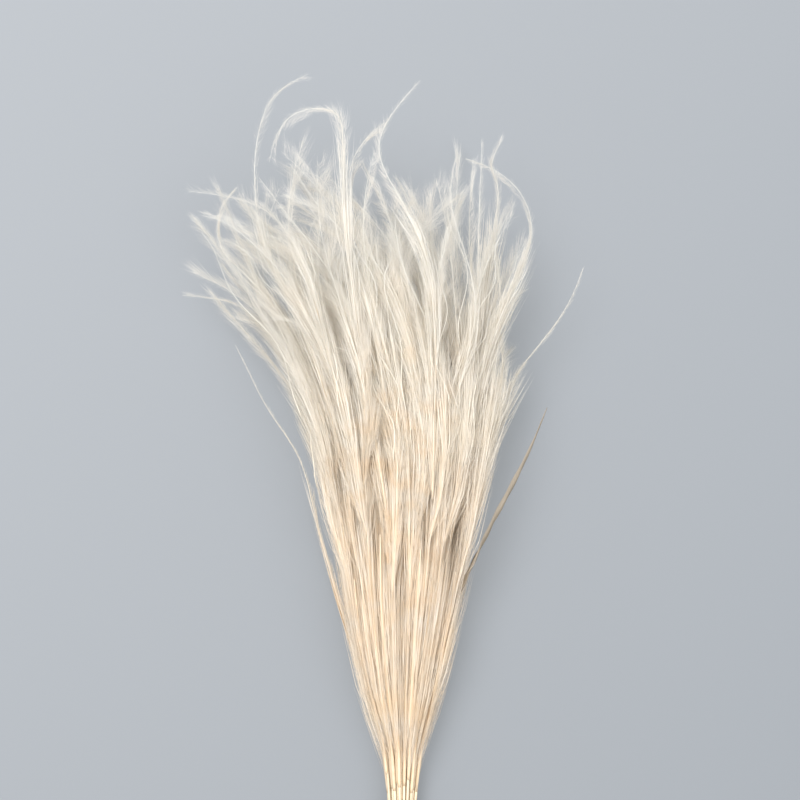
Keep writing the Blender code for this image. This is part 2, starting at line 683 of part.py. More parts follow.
def add_tie(twine):
    """The wound twine with its knot and two cut ends."""
    crown = WAIST_RADIUS + TWINE

    def run(name, radius, *places):
        """Twine through places given as an angle from the knot, a height off the turns and a y."""
        points = [round_tie(KNOT_ANGLE + turn, crown + off, TIE_Y + along) for turn, off, along in places]
        return twine_run(name, points, radius, twine)

    knot = run("knot", 0.0022, (-0.20, -0.0012, -0.0030), (-0.06, 0.0012, -0.0012), (0.06, 0.0012, 0.0012),
               (0.20, -0.0012, 0.0030))
    upper = run("upper_end", 0.0011, (0.0, -0.0002, 0.0), (-0.20, 0.0035, 0.002), (-0.42, 0.0062, 0.001),
                (-0.60, 0.0100, -0.003))
    lower = run("lower_end", 0.0011, (0.0, -0.0002, 0.0), (-0.16, 0.0030, -0.004), (-0.34, 0.0048, -0.011),
                (-0.60, 0.0058, -0.018))
    join("tie", tie_ring(twine), [knot, upper, lower])


def main():
    for thing in list(bpy.data.objects):
        bpy.data.objects.remove(thing)
    add_sprays(layout(), dried_grass())
    add_tie(jute())


main()
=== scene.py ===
"""The looks of a tied bundle of dried feather grass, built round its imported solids.

The stems, awns and leaves follow the same lines as the solids. Each solid is shown as a straw
stem, awns with thousands of fine hairs, and a papery leaf; the tie is wound jute twine.
"""

import math

import bpy
import numpy as np
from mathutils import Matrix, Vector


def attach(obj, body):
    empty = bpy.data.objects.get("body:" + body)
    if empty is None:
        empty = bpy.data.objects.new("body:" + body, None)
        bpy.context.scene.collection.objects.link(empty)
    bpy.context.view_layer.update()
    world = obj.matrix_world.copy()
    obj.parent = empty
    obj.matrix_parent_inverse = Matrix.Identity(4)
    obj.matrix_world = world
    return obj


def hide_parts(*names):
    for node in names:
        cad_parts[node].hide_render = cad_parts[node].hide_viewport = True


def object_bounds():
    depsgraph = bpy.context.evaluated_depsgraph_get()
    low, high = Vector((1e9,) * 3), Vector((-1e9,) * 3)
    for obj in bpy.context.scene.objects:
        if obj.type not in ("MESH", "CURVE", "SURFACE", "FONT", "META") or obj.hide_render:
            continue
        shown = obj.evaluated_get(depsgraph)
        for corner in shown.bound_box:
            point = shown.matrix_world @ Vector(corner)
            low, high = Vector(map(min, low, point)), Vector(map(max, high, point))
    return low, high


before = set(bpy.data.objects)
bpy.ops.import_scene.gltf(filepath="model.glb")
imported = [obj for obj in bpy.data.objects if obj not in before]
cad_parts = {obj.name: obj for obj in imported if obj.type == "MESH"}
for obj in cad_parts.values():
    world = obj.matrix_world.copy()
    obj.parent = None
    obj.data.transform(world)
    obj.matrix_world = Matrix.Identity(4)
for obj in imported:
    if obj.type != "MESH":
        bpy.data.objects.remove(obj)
CAD_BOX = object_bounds()


# Driving dimensions, in metres. Bundle coordinates: x from the middle of the tie, y up from the
# cut ends, z above the surface.
ORIGIN = (-0.0153, 0.3362, 0.0)
SEED = 11

STEM_COUNT = 50
STEM_RADIUS = (0.00110, 0.00135)
STEM_TOP_SHARE = 0.70
STEM_HEIGHTS = (0.045, 0.082, 0.094, 0.134, 0.205)
RAGGED_CUT = 0.007

TIE_Y = 0.084
TIE_TURNS = 4
TWINE = 0.0024
WAIST_RADIUS = 0.0134
TIE_HEIGHT = WAIST_RADIUS + TWINE
KNOT_ANGLE = 0.9

AWN_STATIONS = 11
AWN_LENGTH = (0.215, 0.335)
AWN_THICKNESS = 0.0013
SEED_HALF = 0.0009
COLUMN_HALF = 0.0006
PLUME_HALF = (0.0018, 0.0027)
LEAF_STATIONS = 7
LEAF_HALF = (0.0019, 0.0027)
FIRST_LEAFY_STEM = 26

GAP = 0.00035
SETTLE_STEPS = 300
FLOOR_GAP = 0.0010

# The bundle's outline at distances up from the cut ends: its middle and half width across, and
# its underside and half height.
OUTLINE_Y = (0.000, 0.088, 0.128, 0.176, 0.256, 0.336, 0.416, 0.496, 0.576, 0.676)
MIDDLE_X = (0.002, 0.000, 0.000, -0.001, -0.001, 0.001, 0.001, -0.017, -0.030, -0.040)
HALF_WIDTH = (0.0150, 0.0120, 0.0160, 0.0300, 0.0475, 0.0620, 0.0770, 0.1060, 0.1240, 0.1200)
UNDERSIDE = (0.003, 0.0038, 0.0040, 0.0030, 0.0030, 0.0030, 0.0030, 0.0030, 0.0040, 0.0080)
HALF_HEIGHT = (0.0150, 0.0120, 0.0150, 0.0240, 0.0360, 0.0440, 0.0500, 0.0550, 0.0580, 0.0580)

# The line that most of the awns' tips keep below, as seen from above.
TIP_X = (-0.170, -0.146, -0.106, -0.046, -0.002, 0.030, 0.062, 0.086, 0.104, 0.130)
TIP_Y = (0.5600, 0.5800, 0.6000, 0.6200, 0.5950, 0.6060, 0.6080, 0.5880, 0.5450, 0.4700)

# The awns and leaves that stand out by themselves in the fan, each as the side of the bundle that
# it grows from (0 the underside, 1 the top) and the points that it passes, x and y from its foot,
# in millimetres.
OUTER_AWNS = {
    "far_left_hook": (0.80, ((-75, 478), (-106, 520), (-117, 568), (-119, 605), (-112, 640),
        (-98, 662), (-74, 672))),
    "arched_plume": (0.90, ((-40, 500), (-46, 560), (-48, 602), (-45, 634), (-60, 646), (-82, 644),
        (-100, 628), (-104, 602))),
    "right_hook": (0.90, ((26, 480), (24, 520), (6, 565), (-14, 592), (-20, 618), (-6, 646),
        (14, 666))),
    "left_sweep": (0.85, ((-52, 440), (-74, 520), (-98, 560), (-126, 574), (-152, 579),
        (-168, 580))),
    "left_fold": (0.60, ((-62, 410), (-84, 466), (-110, 505), (-135, 524), (-147, 540), (-146, 568),
        (-134, 582))),
    "left_whisker": (0.40, ((-62, 392), (-82, 432), (-100, 460), (-119, 484), (-138, 496),
        (-176, 500))),
    "left_middle": (0.95, ((-50, 430), (-72, 478), (-92, 514), (-115, 538), (-138, 556),
        (-156, 560))),
    "left_stray": (0.35, ((-50, 246), (-58, 280), (-72, 322), (-75, 352), (-88, 382), (-110, 408),
        (-122, 438), (-134, 460))),
    "centre_sweep": (0.95, ((-12, 420), (-36, 480), (-66, 532), (-96, 568), (-112, 590))),
    "centre_rise": (0.80, ((4, 430), (-10, 490), (-34, 548), (-44, 592), (-30, 622), (-14, 634))),
    "right_loop": (0.90, ((40, 420), (58, 464), (60, 500), (48, 540), (36, 572), (42, 606))),
    "right_arc": (0.70, ((62, 420), (70, 470), (90, 508), (104, 538), (102, 568), (86, 592),
        (64, 604), (50, 607))),
    "right_rise": (0.55, ((62, 440), (64, 500), (74, 548), (78, 584), (70, 604), (80, 624))),
    "right_spire": (0.75, ((52, 430), (60, 480), (60, 540), (62, 588), (63, 622))),
    "right_stray": (0.45, ((66, 372), (78, 400), (90, 436), (112, 462), (132, 488), (142, 512),
        (145, 522))),
    "crossing_curl": (0.97, ((44, 400), (30, 430), (22, 470), (34, 504), (29, 534), (36, 552))),
    "right_low": (0.60, ((66, 380), (78, 424), (80, 456), (72, 486), (78, 520))),
}
OUTER_LEAVES = {
    "right_sheath": (0.55, ((42, 250), (52, 276), (66, 306), (84, 340), (102, 376), (116, 410))),
}


def smooth(y, values):
    """The outline's value at y, on a curve through the values at OUTLINE_Y that turns smoothly."""
    at = np.array(OUTLINE_Y)
    known = np.array(values)
    slope = np.gradient(known, at)
    i = np.clip(np.searchsorted(at, y) - 1, 0, len(at) - 2)
    step = at[i + 1] - at[i]
    t = np.clip((y - at[i]) / step, 0, 1.3)
    return (
        known[i] * (1 + 2 * t) * (1 - t) ** 2
        + known[i + 1] * t * t * (3 - 2 * t)
        + step * t * (1 - t) * (slope[i] * (1 - t) - slope[i + 1] * t)
    )


def in_bundle(a, b, y):
    """The point at height y whose place in the bundle's section is a across and b up, -1 to 1."""
    x = smooth(y, MIDDLE_X) + a * smooth(y, HALF_WIDTH)
    z = smooth(y, UNDERSIDE) + (1 + b) * smooth(y, HALF_HEIGHT)
    return np.stack([x, y + 0 * x, z], axis=-1)


def pressed(a, b, y):
    """The place up the section, b, moved down as the bundle's own weight flattens its underside."""
    below = np.minimum(b, 0)
    flat = np.maximum(below / np.maximum(1 - a * a, 0.04) ** 0.42, -1)
    return b + np.clip((y - 0.125) / 0.16, 0, 1) * (flat - below)


def sunflower(count):
    """count places spread evenly over a disc of radius 1, in a spiral of golden angles."""
    k = np.arange(count)
    radius = np.sqrt((k + 0.5) / count)
    angle = k * math.pi * (3 - math.sqrt(5))
    return radius * np.cos(angle), radius * np.sin(angle)


def curve(points, steps):
    """A Catmull-Rom curve through the points, in so many steps from each one to the next."""
    p = np.vstack([2 * points[0] - points[1], points, 2 * points[-1] - points[-2]])
    t = np.linspace(0, 1, steps, endpoint=False)[None, :, None]
    a, b, c, d = (p[k:len(p) - 3 + k, None] for k in range(4))
    square, cube = 2 * a - 5 * b + 4 * c - d, 3 * b - a - 3 * c + d
    fine = 0.5 * (2 * b + (c - a) * t + square * t**2 + cube * t**3)
    return np.vstack([fine.reshape(-1, 3), points[-1:]])


def along_line(at, known, line):
    """The line's points at values of a measure that is known at each of its points."""
    return np.stack([np.interp(at, known, line[:, k]) for k in range(3)], axis=-1)


def through(points, count):
    """count points on a smooth curve through the given points, closer together where it turns.

    Returns the points, each one's share of the curve's length, and that length.
    """
    fine = curve(points, 24)
    step = np.diff(fine, axis=0)
    long = np.linalg.norm(step, axis=1)
    along = np.concatenate([[0], np.cumsum(long)])
    way = step / long[:, None]
    turn = np.linalg.norm(np.diff(way, axis=0, append=way[-1:]), axis=1)
    spent = np.concatenate([[0], np.cumsum(long / along[-1] + 0.32 * turn)])
    at = np.interp(np.linspace(0, spent[-1], count), spent, along)
    return along_line(at, along, fine), at / along[-1], along[-1]


class Strand:
    """A stem, an awn or a leaf: the points of its line, and its half width at each of them."""

    def __init__(self, kind, stem, points, half, root_y=None, stiff=1.0, name=""):
        self.kind = kind
        self.stem = stem
        self.points = points
        self.half = half
        self.root_y = root_y
        self.stiff = stiff
        self.name = name


def make_stems(rng):
    """The stems: straight below the tie, spread above it as the outline says."""
    across, up = sunflower(STEM_COUNT)
    stems = []
    for k in range(STEM_COUNT):
        low = rng.uniform(0, RAGGED_CUT)
        top = rng.uniform(0.300, 0.360)
        radius = rng.uniform(*STEM_RADIUS)
        y = np.array([low, *STEM_HEIGHTS, top])
        points = in_bundle(across[k], pressed(across[k], up[k], y), y)
        half = radius * (1 - (1 - STEM_TOP_SHARE) * ((y - low) / (top - low)) ** 1.5)
        stems.append(Strand("stem", k, points, half, stiff=0.6, name=f"stem_{k + 1:02d}"))
    return stems


def awn_half(share, length, widest):
    """Half widths along an awn: its seed at the foot, a bare column, then the plume."""
    plume = np.clip((share - 0.03) / 0.97, 0, 1)
    feather = widest * np.minimum(1, plume / 0.30) ** 0.55 * (1 - plume**2.6) ** 0.9
    seed = SEED_HALF * np.exp(-(((share * length - 0.012) / 0.012) ** 2))
    return np.maximum(COLUMN_HALF * (1 - 0.25 * share), np.maximum(feather, seed))


def leaf_half(share, widest):
    """Half widths along a dry leaf: widest a third of the way up, drawn out to a point."""
    return np.maximum(widest * np.sin(math.pi * (0.06 + 0.94 * share) ** 0.75) ** 0.8, 0.0005)


def thickness(half):
    """How thick an awn or a leaf is where it is half wide on each side."""
    return np.minimum(AWN_THICKNESS, 1.7 * half)


def stem_at(stem, y):
    """The point of a stem's line at height y."""
    return along_line(y, stem.points[:, 1], stem.points)


def section_place(p):
    """Where points lie in the bundle's own section: across and up, both from -1 to 1."""
    a = (p[:, 0] - smooth(p[:, 1], MIDDLE_X)) / smooth(p[:, 1], HALF_WIDTH)
    b = (p[:, 2] - smooth(p[:, 1], UNDERSIDE)) / smooth(p[:, 1], HALF_HEIGHT) - 1
    return a, b


def awn_lanes(rng, stems, taken):
    """The stem, the order on it and the root height of every awn that fills the fan."""
    lanes = []
    for k, stem in enumerate(stems):
        for j in range(3 - taken.get(k, 0) - (k % 5 == 4)):
            root = stem.points[-1, 1] - 0.003 - (0.035 + 0.012 * rng.random()) * j
            lanes.append((k, j, root))
    return lanes


def trimmed(path, spare):
    """An awn's path up to the line of the tips, or to some way past it, but never less than half."""
    over = np.flatnonzero(path[:, 1] > np.interp(path[:, 0], TIP_X, TIP_Y) + spare)
    end = max(over[0], len(path) // 2) if len(over) else len(path)
    return path[:end]


def grown_awns(rng, stems, taken):
    """The awns that fill the fan: each leaves its stem, keeps its own lane and curls at the tip."""
    lanes = awn_lanes(rng, stems, taken)
    count = len(lanes)
    owner = np.array([k for k, _, _ in lanes])
    order = np.array([j for _, j, _ in lanes])
    across, up = sunflower(STEM_COUNT)
    turn = rng.uniform(0, 2 * math.pi, STEM_COUNT)[owner] + order * 2.1
    a_goal = np.clip(across[owner] * 1.02 + 0.13 * np.cos(turn), -1, 1)
    b_goal = np.clip(up[owner] * 1.02 + 0.13 * np.sin(turn), -1, 1)
    b_goal = pressed(np.clip(a_goal, -0.97, 0.97), b_goal, 1.0)
    length = rng.uniform(*AWN_LENGTH, count)
    phase = rng.uniform(-0.5, 0.5, (2, count)) + np.stack([3.2 * a_goal + 1.4 * b_goal, 2.6 * b_goal])
    sway = rng.uniform(0.10, 0.28, (2, count))
    left, right = a_goal < -0.30, a_goal > 0.40
    side = np.where(left, rng.choice([-1.0, 0.8], count, p=[0.72, 0.28]),
                    np.where(right, rng.choice([-1.0, 0.7], count, p=[0.65, 0.35]),
                             rng.choice([-1.0, 0.8], count, p=[0.55, 0.45])))
    curl = side * rng.uniform(0.45, 1.35, count) * np.where(np.abs(a_goal) > 0.8, 0.65, 1.0)
    curl_up = np.clip(rng.normal(0, 0.45, count), -0.8, 0.8) - 0.35 * b_goal
    p = np.array([stem_at(stems[k], y) for k, _, y in lanes])
    paths = [p]
    steps = 60
    for i in range(steps):
        t = i / steps
        a, b = section_place(p)
        wide, high = np.clip(a, -1.2, 1.2), np.clip(b, -1.0, 1.2)
        slope = (in_bundle(wide, high, p[:, 1] + 0.004) - in_bundle(wide, high, p[:, 1] - 0.004)) / 0.008
        grown = min(1.0, 4 * t)
        bend = max(0.0, (t - 0.42) / 0.58) ** 1.6
        yaw = np.arctan(slope[:, 0]) + (1 - t) * np.clip((a_goal - a) * 1.8, -0.40, 0.40)
        pitch = np.arctan(slope[:, 2]) + (1 - t) * np.clip((b_goal - b) * 1.3, -0.30, 0.30)
        yaw += grown * sway[0] * np.sin(phase[0] + 5.2 * t) + curl * bend
        yaw = np.clip(yaw, -1.25, 1.25)
        pitch += grown * sway[1] * np.sin(phase[1] + 4.6 * t) * 0.7 + curl_up * bend
        way = np.stack([np.sin(yaw) * np.cos(pitch), np.cos(yaw) * np.cos(pitch), np.sin(pitch)], axis=1)
        p = p + way * (length / steps)[:, None]
        paths.append(p)
    paths = np.stack(paths, axis=1)
    awns = []
    for n, (k, j, root_y) in enumerate(lanes):
        line, share, long = through(trimmed(paths[n], 0.014 * math.sin(7 * n)), AWN_STATIONS)
        half = awn_half(share, long, rng.uniform(*PLUME_HALF))
        awns.append(Strand("awn", k, line, half, root_y, 1.0, f"awn_{k + 1:02d}_{j + 1}"))
    return awns


def grown_leaves(rng, stems):
    """A dry leaf on each outer stem, running up the outside of the bundle beside it."""
    across, up = sunflower(STEM_COUNT)
    leaves = []
    for k in range(FIRST_LEAFY_STEM, STEM_COUNT):
        foot = rng.uniform(0.118, 0.140)
        long = rng.uniform(0.13, 0.20)
        aside = rng.choice([-1, 1]) * rng.uniform(0.10, 0.18)
        share = np.linspace(0, 1, 8)
        y = foot + long * share
        turn = math.atan2(up[k], across[k]) + aside * np.minimum(1, share / 0.25)
        out = math.hypot(across[k], up[k]) * (1 + 0.04 * np.sin(math.pi * share))
        a, b = out * np.cos(turn), out * np.sin(turn)
        points = in_bundle(a, pressed(a, b, y), y)
        points[0] = stem_at(stems[k], foot)
        line, share, _ = through(points, LEAF_STATIONS)
        half = leaf_half(share, rng.uniform(*LEAF_HALF))
        leaves.append(Strand("leaf", k, line, half, foot, 0.8, f"leaf_{k + 1:02d}"))
    return leaves


def nearest_stem(stems, side, point, taken):
    """The stem whose place in the section is nearest to a guide's foot, among those with room."""
    def miss(stem):
        at = stem_at(stem, min(point[1] - 0.04, stem.points[-1, 1] - 0.01))[None]
        foot = np.array([[point[0], point[1], 0.0]])
        away_a = section_place(at)[0][0] - section_place(foot)[0][0]
        away_b = section_place(at)[1][0] - (2 * side - 1)
        return away_a**2 + 0.5 * away_b**2 + 0.6 * taken.get(stem.stem, 0)
    return min(stems, key=miss)


def guided(kind, guides, stems, taken):
    """The strands that stand out by themselves, each along its own points."""
    made = []
    for name, (side, points) in guides.items():
        flat = np.array(points) / 1000
        stem = nearest_stem(stems, side, flat[0], taken)
        taken[stem.stem] = taken.get(stem.stem, 0) + 1
        back = 0.085 if kind == "awn" else 0.060
        root_y = min(flat[0, 1] - back, stem.points[-1, 1] - 0.004)
        root = stem_at(stem, root_y)
        foot_b = section_place(root[None])[1][0]
        b = foot_b + (2 * side - 1 - foot_b) * np.linspace(0.15, 1, len(flat))
        z = smooth(flat[:, 1], UNDERSIDE) + (1 + b) * smooth(flat[:, 1], HALF_HEIGHT)
        line = np.vstack([root, np.column_stack([flat, z])])
        path, share, long = through(line, AWN_STATIONS + 3 if kind == "awn" else LEAF_STATIONS + 1)
        if kind == "awn":
            half = awn_half(share, long, PLUME_HALF[1])
        else:
            half = leaf_half(share, 1.2 * LEAF_HALF[1])
        made.append(Strand(kind, stem.stem, path, half, root_y, 0.3, name))
    return made


class Tangle:
    """All the strands as one set of points and segments, moved until every strand is clear."""

    def __init__(self, strands):
        self.strands = strands
        self.at = np.vstack([s.points for s in strands])
        self.start = self.at.copy()
        self.reach = np.concatenate([np.hypot(s.half, thickness(s.half) / 3) for s in strands])
        sizes = [len(s.points) for s in strands]
        self.first = first = np.concatenate([[0], np.cumsum(sizes)[:-1]])
        self.owner = np.repeat(np.arange(len(strands)), sizes)
        self.stem = np.array([s.stem for s in strands])[self.owner]
        self.stiff = np.array([s.stiff for s in strands])[self.owner]
        last = np.zeros(len(self.at), bool)
        last[first + np.array(sizes) - 1] = True
        self.low = np.flatnonzero(~last)
        self.station = np.arange(len(self.at)) - first[self.owner]
        self.inner = np.flatnonzero(~last & (self.station > 0))
        self.ends = np.flatnonzero(last)
        self.link()

    def link(self):
        """Ties the first point of each awn and leaf to the line of its stem."""
        below, share, tied = [], [], []
        stems = {s.stem: n for n, s in enumerate(self.strands) if s.kind == "stem"}
        for n, strand in enumerate(self.strands):
            if strand.kind == "stem":
                continue
            host = stems[strand.stem]
            line = self.strands[host].points[:, 1]
            i = min(np.searchsorted(line, strand.root_y) - 1, len(line) - 2)
            tied.append(self.first[n])
            below.append(self.first[host] + i)
            share.append((strand.root_y - line[i]) / (line[i + 1] - line[i]))
        self.tied, self.below = np.array(tied), np.array(below)
        self.share = np.array(share)[:, None]

    def near_pairs(self, reach):
        """Pairs of segments that may come within reach, and not a strand with its own root."""
        a, b = self.at[self.low], self.at[self.low + 1]
        middle = (a + b) / 2
        long = np.linalg.norm(b - a, axis=1) / 2
        order = np.argsort(middle[:, 1] - long)
        bottom, top = (middle[:, 1] - long)[order], (middle[:, 1] + long)[order]
        stop = np.searchsorted(bottom, top + reach)
        counts = np.maximum(stop - np.arange(len(order)) - 1, 0)
        i = np.repeat(np.arange(len(order)), counts)
        j = np.arange(counts.sum()) - np.repeat(np.cumsum(counts) - counts, counts) + i + 1
        i, j = order[i], order[j]
        far = np.linalg.norm(middle[i] - middle[j], axis=1) - long[i] - long[j]
        i, j = self.low[i[far < reach]], self.low[j[far < reach]]
        same = self.owner[i] == self.owner[j]
        rooted = (self.stem[i] == self.stem[j]) & (np.minimum(self.root_steps(i), self.root_steps(j)) < 3)
        keep = ~same & ~rooted
        return i[keep], j[keep]

    def root_steps(self, i):
        """Stations from the root, counted as none on a stem."""
        return np.where(self.owner[i] < STEM_COUNT, 0, self.station[i])

    def closest(self, i, j):
        """For pairs of segments, the shares along each at which they come closest."""
        p, q = self.at[i], self.at[j]
        u, v = self.at[i + 1] - p, self.at[j + 1] - q
        w = p - q
        uu, uv, vv = (u * u).sum(1), (u * v).sum(1), (v * v).sum(1)
        uw, vw = (u * w).sum(1), (v * w).sum(1)
        det = uu * vv - uv * uv
        s = np.clip((uv * vw - vv * uw) / np.maximum(det, 1e-12 * uu * vv + 1e-18), 0, 1)
        t = np.clip((uv * s + vw) / vv, 0, 1)
        s = np.clip((uv * t - uw) / uu, 0, 1)
        return s[:, None], t[:, None]

    def overlaps(self, i, j):
        """How far each pair is from being clear, and the way in which to part it."""
        s, t = self.closest(i, j)
        p = self.at[i] * (1 - s) + self.at[i + 1] * s
        q = self.at[j] * (1 - t) + self.at[j + 1] * t
        apart = p - q
        distance = np.linalg.norm(apart, axis=1)
        radius = self.reach[i] * (1 - s[:, 0]) + self.reach[i + 1] * s[:, 0]
        radius += self.reach[j] * (1 - t[:, 0]) + self.reach[j + 1] * t[:, 0]
        miss = radius + GAP - distance
        return s, t, miss, apart / np.maximum(distance, 1e-6)[:, None]

    def push_apart(self, i, j, strength):
        """Pushes the pairs that overlap apart, each segment by its share of the work."""
        s, t, miss, way = self.overlaps(i, j)
        hit = miss > 0
        i, j, s, t, way = i[hit], j[hit], s[hit], t[hit], way[hit]
        mine, yours = self.stiff[i][:, None], self.stiff[j][:, None]
        push = way * (miss[hit] * strength)[:, None]
        move = np.zeros_like(self.at)
        count = np.zeros(len(self.at))
        for k, share, duty in ((i, s, mine / (mine + yours)), (j, t, -yours / (mine + yours))):
            spread = (1 - share) ** 2 + share**2
            np.add.at(move, k, push * duty * (1 - share) / spread)
            np.add.at(move, k + 1, push * duty * share / spread)
            np.add.at(count, k, (1 - share[:, 0]))
            np.add.at(count, k + 1, share[:, 0])
        self.at += move / np.maximum(count, 1.0)[:, None] ** 0.6

    def ease(self, amount):
        """Spreads each strand's movement along it, so that it bends gently."""
        moved = self.at - self.start
        k = self.inner
        middle = (moved[k - 1] + moved[k + 1]) / 2
        moved[k] += amount * (middle - moved[k])
        e = self.ends
        moved[e] += amount * (2 * moved[e - 1] - moved[e - 2] - moved[e]) * 0.3
        self.at = self.start + moved

    def hold(self):
        """Keeps the strands off the surface, inside the tie, and rooted on their stems."""
        floor = FLOOR_GAP + self.reach
        self.at[:, 2] = np.maximum(self.at[:, 2], floor)
        bound = np.abs(self.start[:, 1] - TIE_Y) < 0.011
        waist = np.flatnonzero(bound & (self.owner < STEM_COUNT))
        away = self.at[waist][:, [0, 2]] - [0, TIE_HEIGHT]
        out = np.linalg.norm(away, axis=1)
        most = WAIST_RADIUS - GAP - self.reach[waist]
        inside = away * np.minimum(1, most / np.maximum(out, 1e-9))[:, None]
        self.at[waist, 0] = inside[:, 0]
        self.at[waist, 2] = inside[:, 1] + TIE_HEIGHT
        self.at[self.tied] = self.at[self.below] * (1 - self.share) + self.at[self.below + 1] * self.share

    def settle(self):
        """Moves everything until no two strands are closer than the gap."""
        for step in range(SETTLE_STEPS):
            if step % 10 == 0:
                pairs = self.near_pairs(0.010)
            self.push_apart(*pairs, 0.9)
            self.ease(0.30 * max(0.0, 1 - 1.25 * step / SETTLE_STEPS))
            self.hold()
        for n, strand in enumerate(self.strands):
            strand.points = self.at[self.first[n]:self.first[n] + len(strand.points)]


def layout():
    """Every strand of the bundle, settled clear of the others."""
    rng = np.random.default_rng(SEED)
    stems = make_stems(rng)
    taken = {}
    others = guided("awn", OUTER_AWNS, stems, taken)
    others += guided("leaf", OUTER_LEAVES, stems, {})
    others += grown_awns(rng, stems, taken)
    others += grown_leaves(rng, stems)
    tangle = Tangle(stems + others)
    tangle.settle()
    return tangle.strands


def frames(line):
    """The outward and sideways directions at each point, turning as little as the line allows."""
    way = np.gradient(line, axis=0)
    way /= np.linalg.norm(way, axis=1)[:, None]
    out = line[0] - in_bundle(0, 0, line[0, 1]) + [0, 0, 0.0015]
    outs = []
    for direction in way:
        out = out - direction * (out @ direction)
        out = out / np.linalg.norm(out)
        outs.append(out)
    outs = np.array(outs)
    return outs, np.cross(way, outs)


# How finely the lines are drawn: steps between two points, and sides round a section.
STEM_STEPS, LEAF_STEPS, AWN_STEPS, TWINE_STEPS = 7, 6, 4, 14
STEM_ROUND, AWN_ROUND, TWINE_ROUND = 8, 4, 10
GLUME_STATIONS = 18
SLEEVE_STATIONS = 14

# The places of a spray's finishes on its object.
STRAW, PAPER, HAIR, AXIS = range(4)

# Each set of kites, strip or tube has a row of the UV map to itself, and a kite's middle is twice
# KITE_UV wide there.
UV_ROWS = 32
KITE_UV = 0.5 / 2048

# Hairs: how many, their length, the share of it that is left near the tips, and their shade. The
# awns that fill the fan have one of these lengths, with these odds.
HAIRS = 2320
HAIR_LENGTHS, LENGTH_ODDS = (0.010, 0.014, 0.019), (0.25, 0.40, 0.35)
OUTER_HAIRS = (HAIRS * 4 // 5, 0.0135, 0.52, -0.06)
STRAY_HAIRS = {
    "left_stray": (HAIRS // 2, 0.0050, 0.52, -0.06),
    "right_stray": (HAIRS * 4 // 5, 0.0135, 0.32, -0.20),
}

# Loose fibres: how many, how long, and how far they stand off. Awns right of FULL_X have more.
STEM_FIBRES = (320, 0.120, 0.0100)
LEAF_FIBRES = (110, 0.070, 0.0060)
AWN_FIBRES = (380, 0.090, 0.0100)
FULL_FIBRES = (650, 0.090, 0.0130)
STRAY_FIBRES = (60, 0.090, 0.0020)
FULL_X = 0.045

# Awns whose middle is above this height mostly have a curling bristle, and others seldom.
CURL_HEIGHT = 0.062
CURL_ODDS = (0.10, 0.75)

# Half widths: of hairs at four shares of their awn, of a curling bristle along it, and of the
# others from the least to the most. Then a husk's length, and how thick a leaf and a husk are.
HAIR_HALF = (0.00013, 0.00012, 0.00007, 0.00005)
CURL_HALF = (0.00032, 0.00028, 0.00012)
FIBRE_HALF = (0.00012, 0.00032)
GLUME_HALF = (0.0008, 0.0015)
AXIS_HALF = (0.00009, 0.00032)
GLUME_LONG = (0.090, 0.150)
LEAF_THICK, GLUME_THICK = 0.00022, 0.00015

# A straw: how far its fibres begin up it, how long its joints and its thin upper end are, and how
# far it goes on past the first of its awns.
FIBRES_FROM = 0.105
JOINT_LONG = 0.0028
STEM_THINS = 0.075
STEM_BEYOND_HEAD = 0.015

# The seed's place on its awn, its length and its half width. How broad the sheath and the leaves
# are against their solids, and the sheath's shade.
SEED_PLACE, SEED_LONG, SEED_WIDE = 0.012, 0.009, 0.00085
SHEATH_LOOK = (1.35, -0.66)
LEAF_BROAD = 0.95
TWINE_PITCH = TWINE * 1.04
TWINE_TWIST = 1100.0

# What stands over a line just below the solids' top loses this share of its height above it.
TOP_LINE = CAD_BOX[1][2] - 0.004
BENT_DOWN = 0.55
CLEAR_OF_FLOOR = 0.0003


def fine_line(points, steps):
    """The curve through the points, and where each of its own points lies between them."""
    line = curve(points, steps)
    return line, np.linspace(0, len(points) - 1, len(line))


def relaxed(points):
    """The line without its small kinks: twice, each point goes halfway to its neighbours' middle."""
    eased = points.copy()
    for _ in range(2):
        eased[1:-1] += 0.5 * ((eased[:-2] + eased[2:]) / 2 - eased[1:-1])
    return eased


class Path:
    """A line (n, 3), with its outward and its sideways direction at each point."""

    def __init__(self, line, out=None, side=None):
        self.line = line
        self.out, self.side = frames(line) if out is None else (out, side)

    def cut(self, keep):
        """The stretch of the path where keep is true."""
        return Path(self.line[keep], self.out[keep], self.side[keep])

    def along(self):
        """How far along the path each point lies."""
        return np.concatenate([[0], np.cumsum(np.linalg.norm(np.diff(self.line, axis=0), axis=1))])

    def at(self, places, known):
        """The path at places of a measure that is known at each of its points."""
        return Path(*(along_line(places, known, rows) for rows in (self.line, self.out, self.side)))

    def turned(self, angle):
        """Its outward and its sideways direction, turned by an angle at each point."""
        c, s = np.cos(angle)[:, None], np.sin(angle)[:, None]
        return self.out * c - self.side * s, self.side * c + self.out * s

    def rings(self, radius, sides):
        """Rounds about the line, (n, sides, 3): the radius is one for each round or each point."""
        angle = 2 * math.pi * np.arange(sides) / sides
        c, s = np.cos(angle)[None, :, None], np.sin(angle)[None, :, None]
        around = self.out[:, None] * c + self.side[:, None] * s
        return self.line[:, None] + around * radius.reshape(len(radius), -1)[..., None]


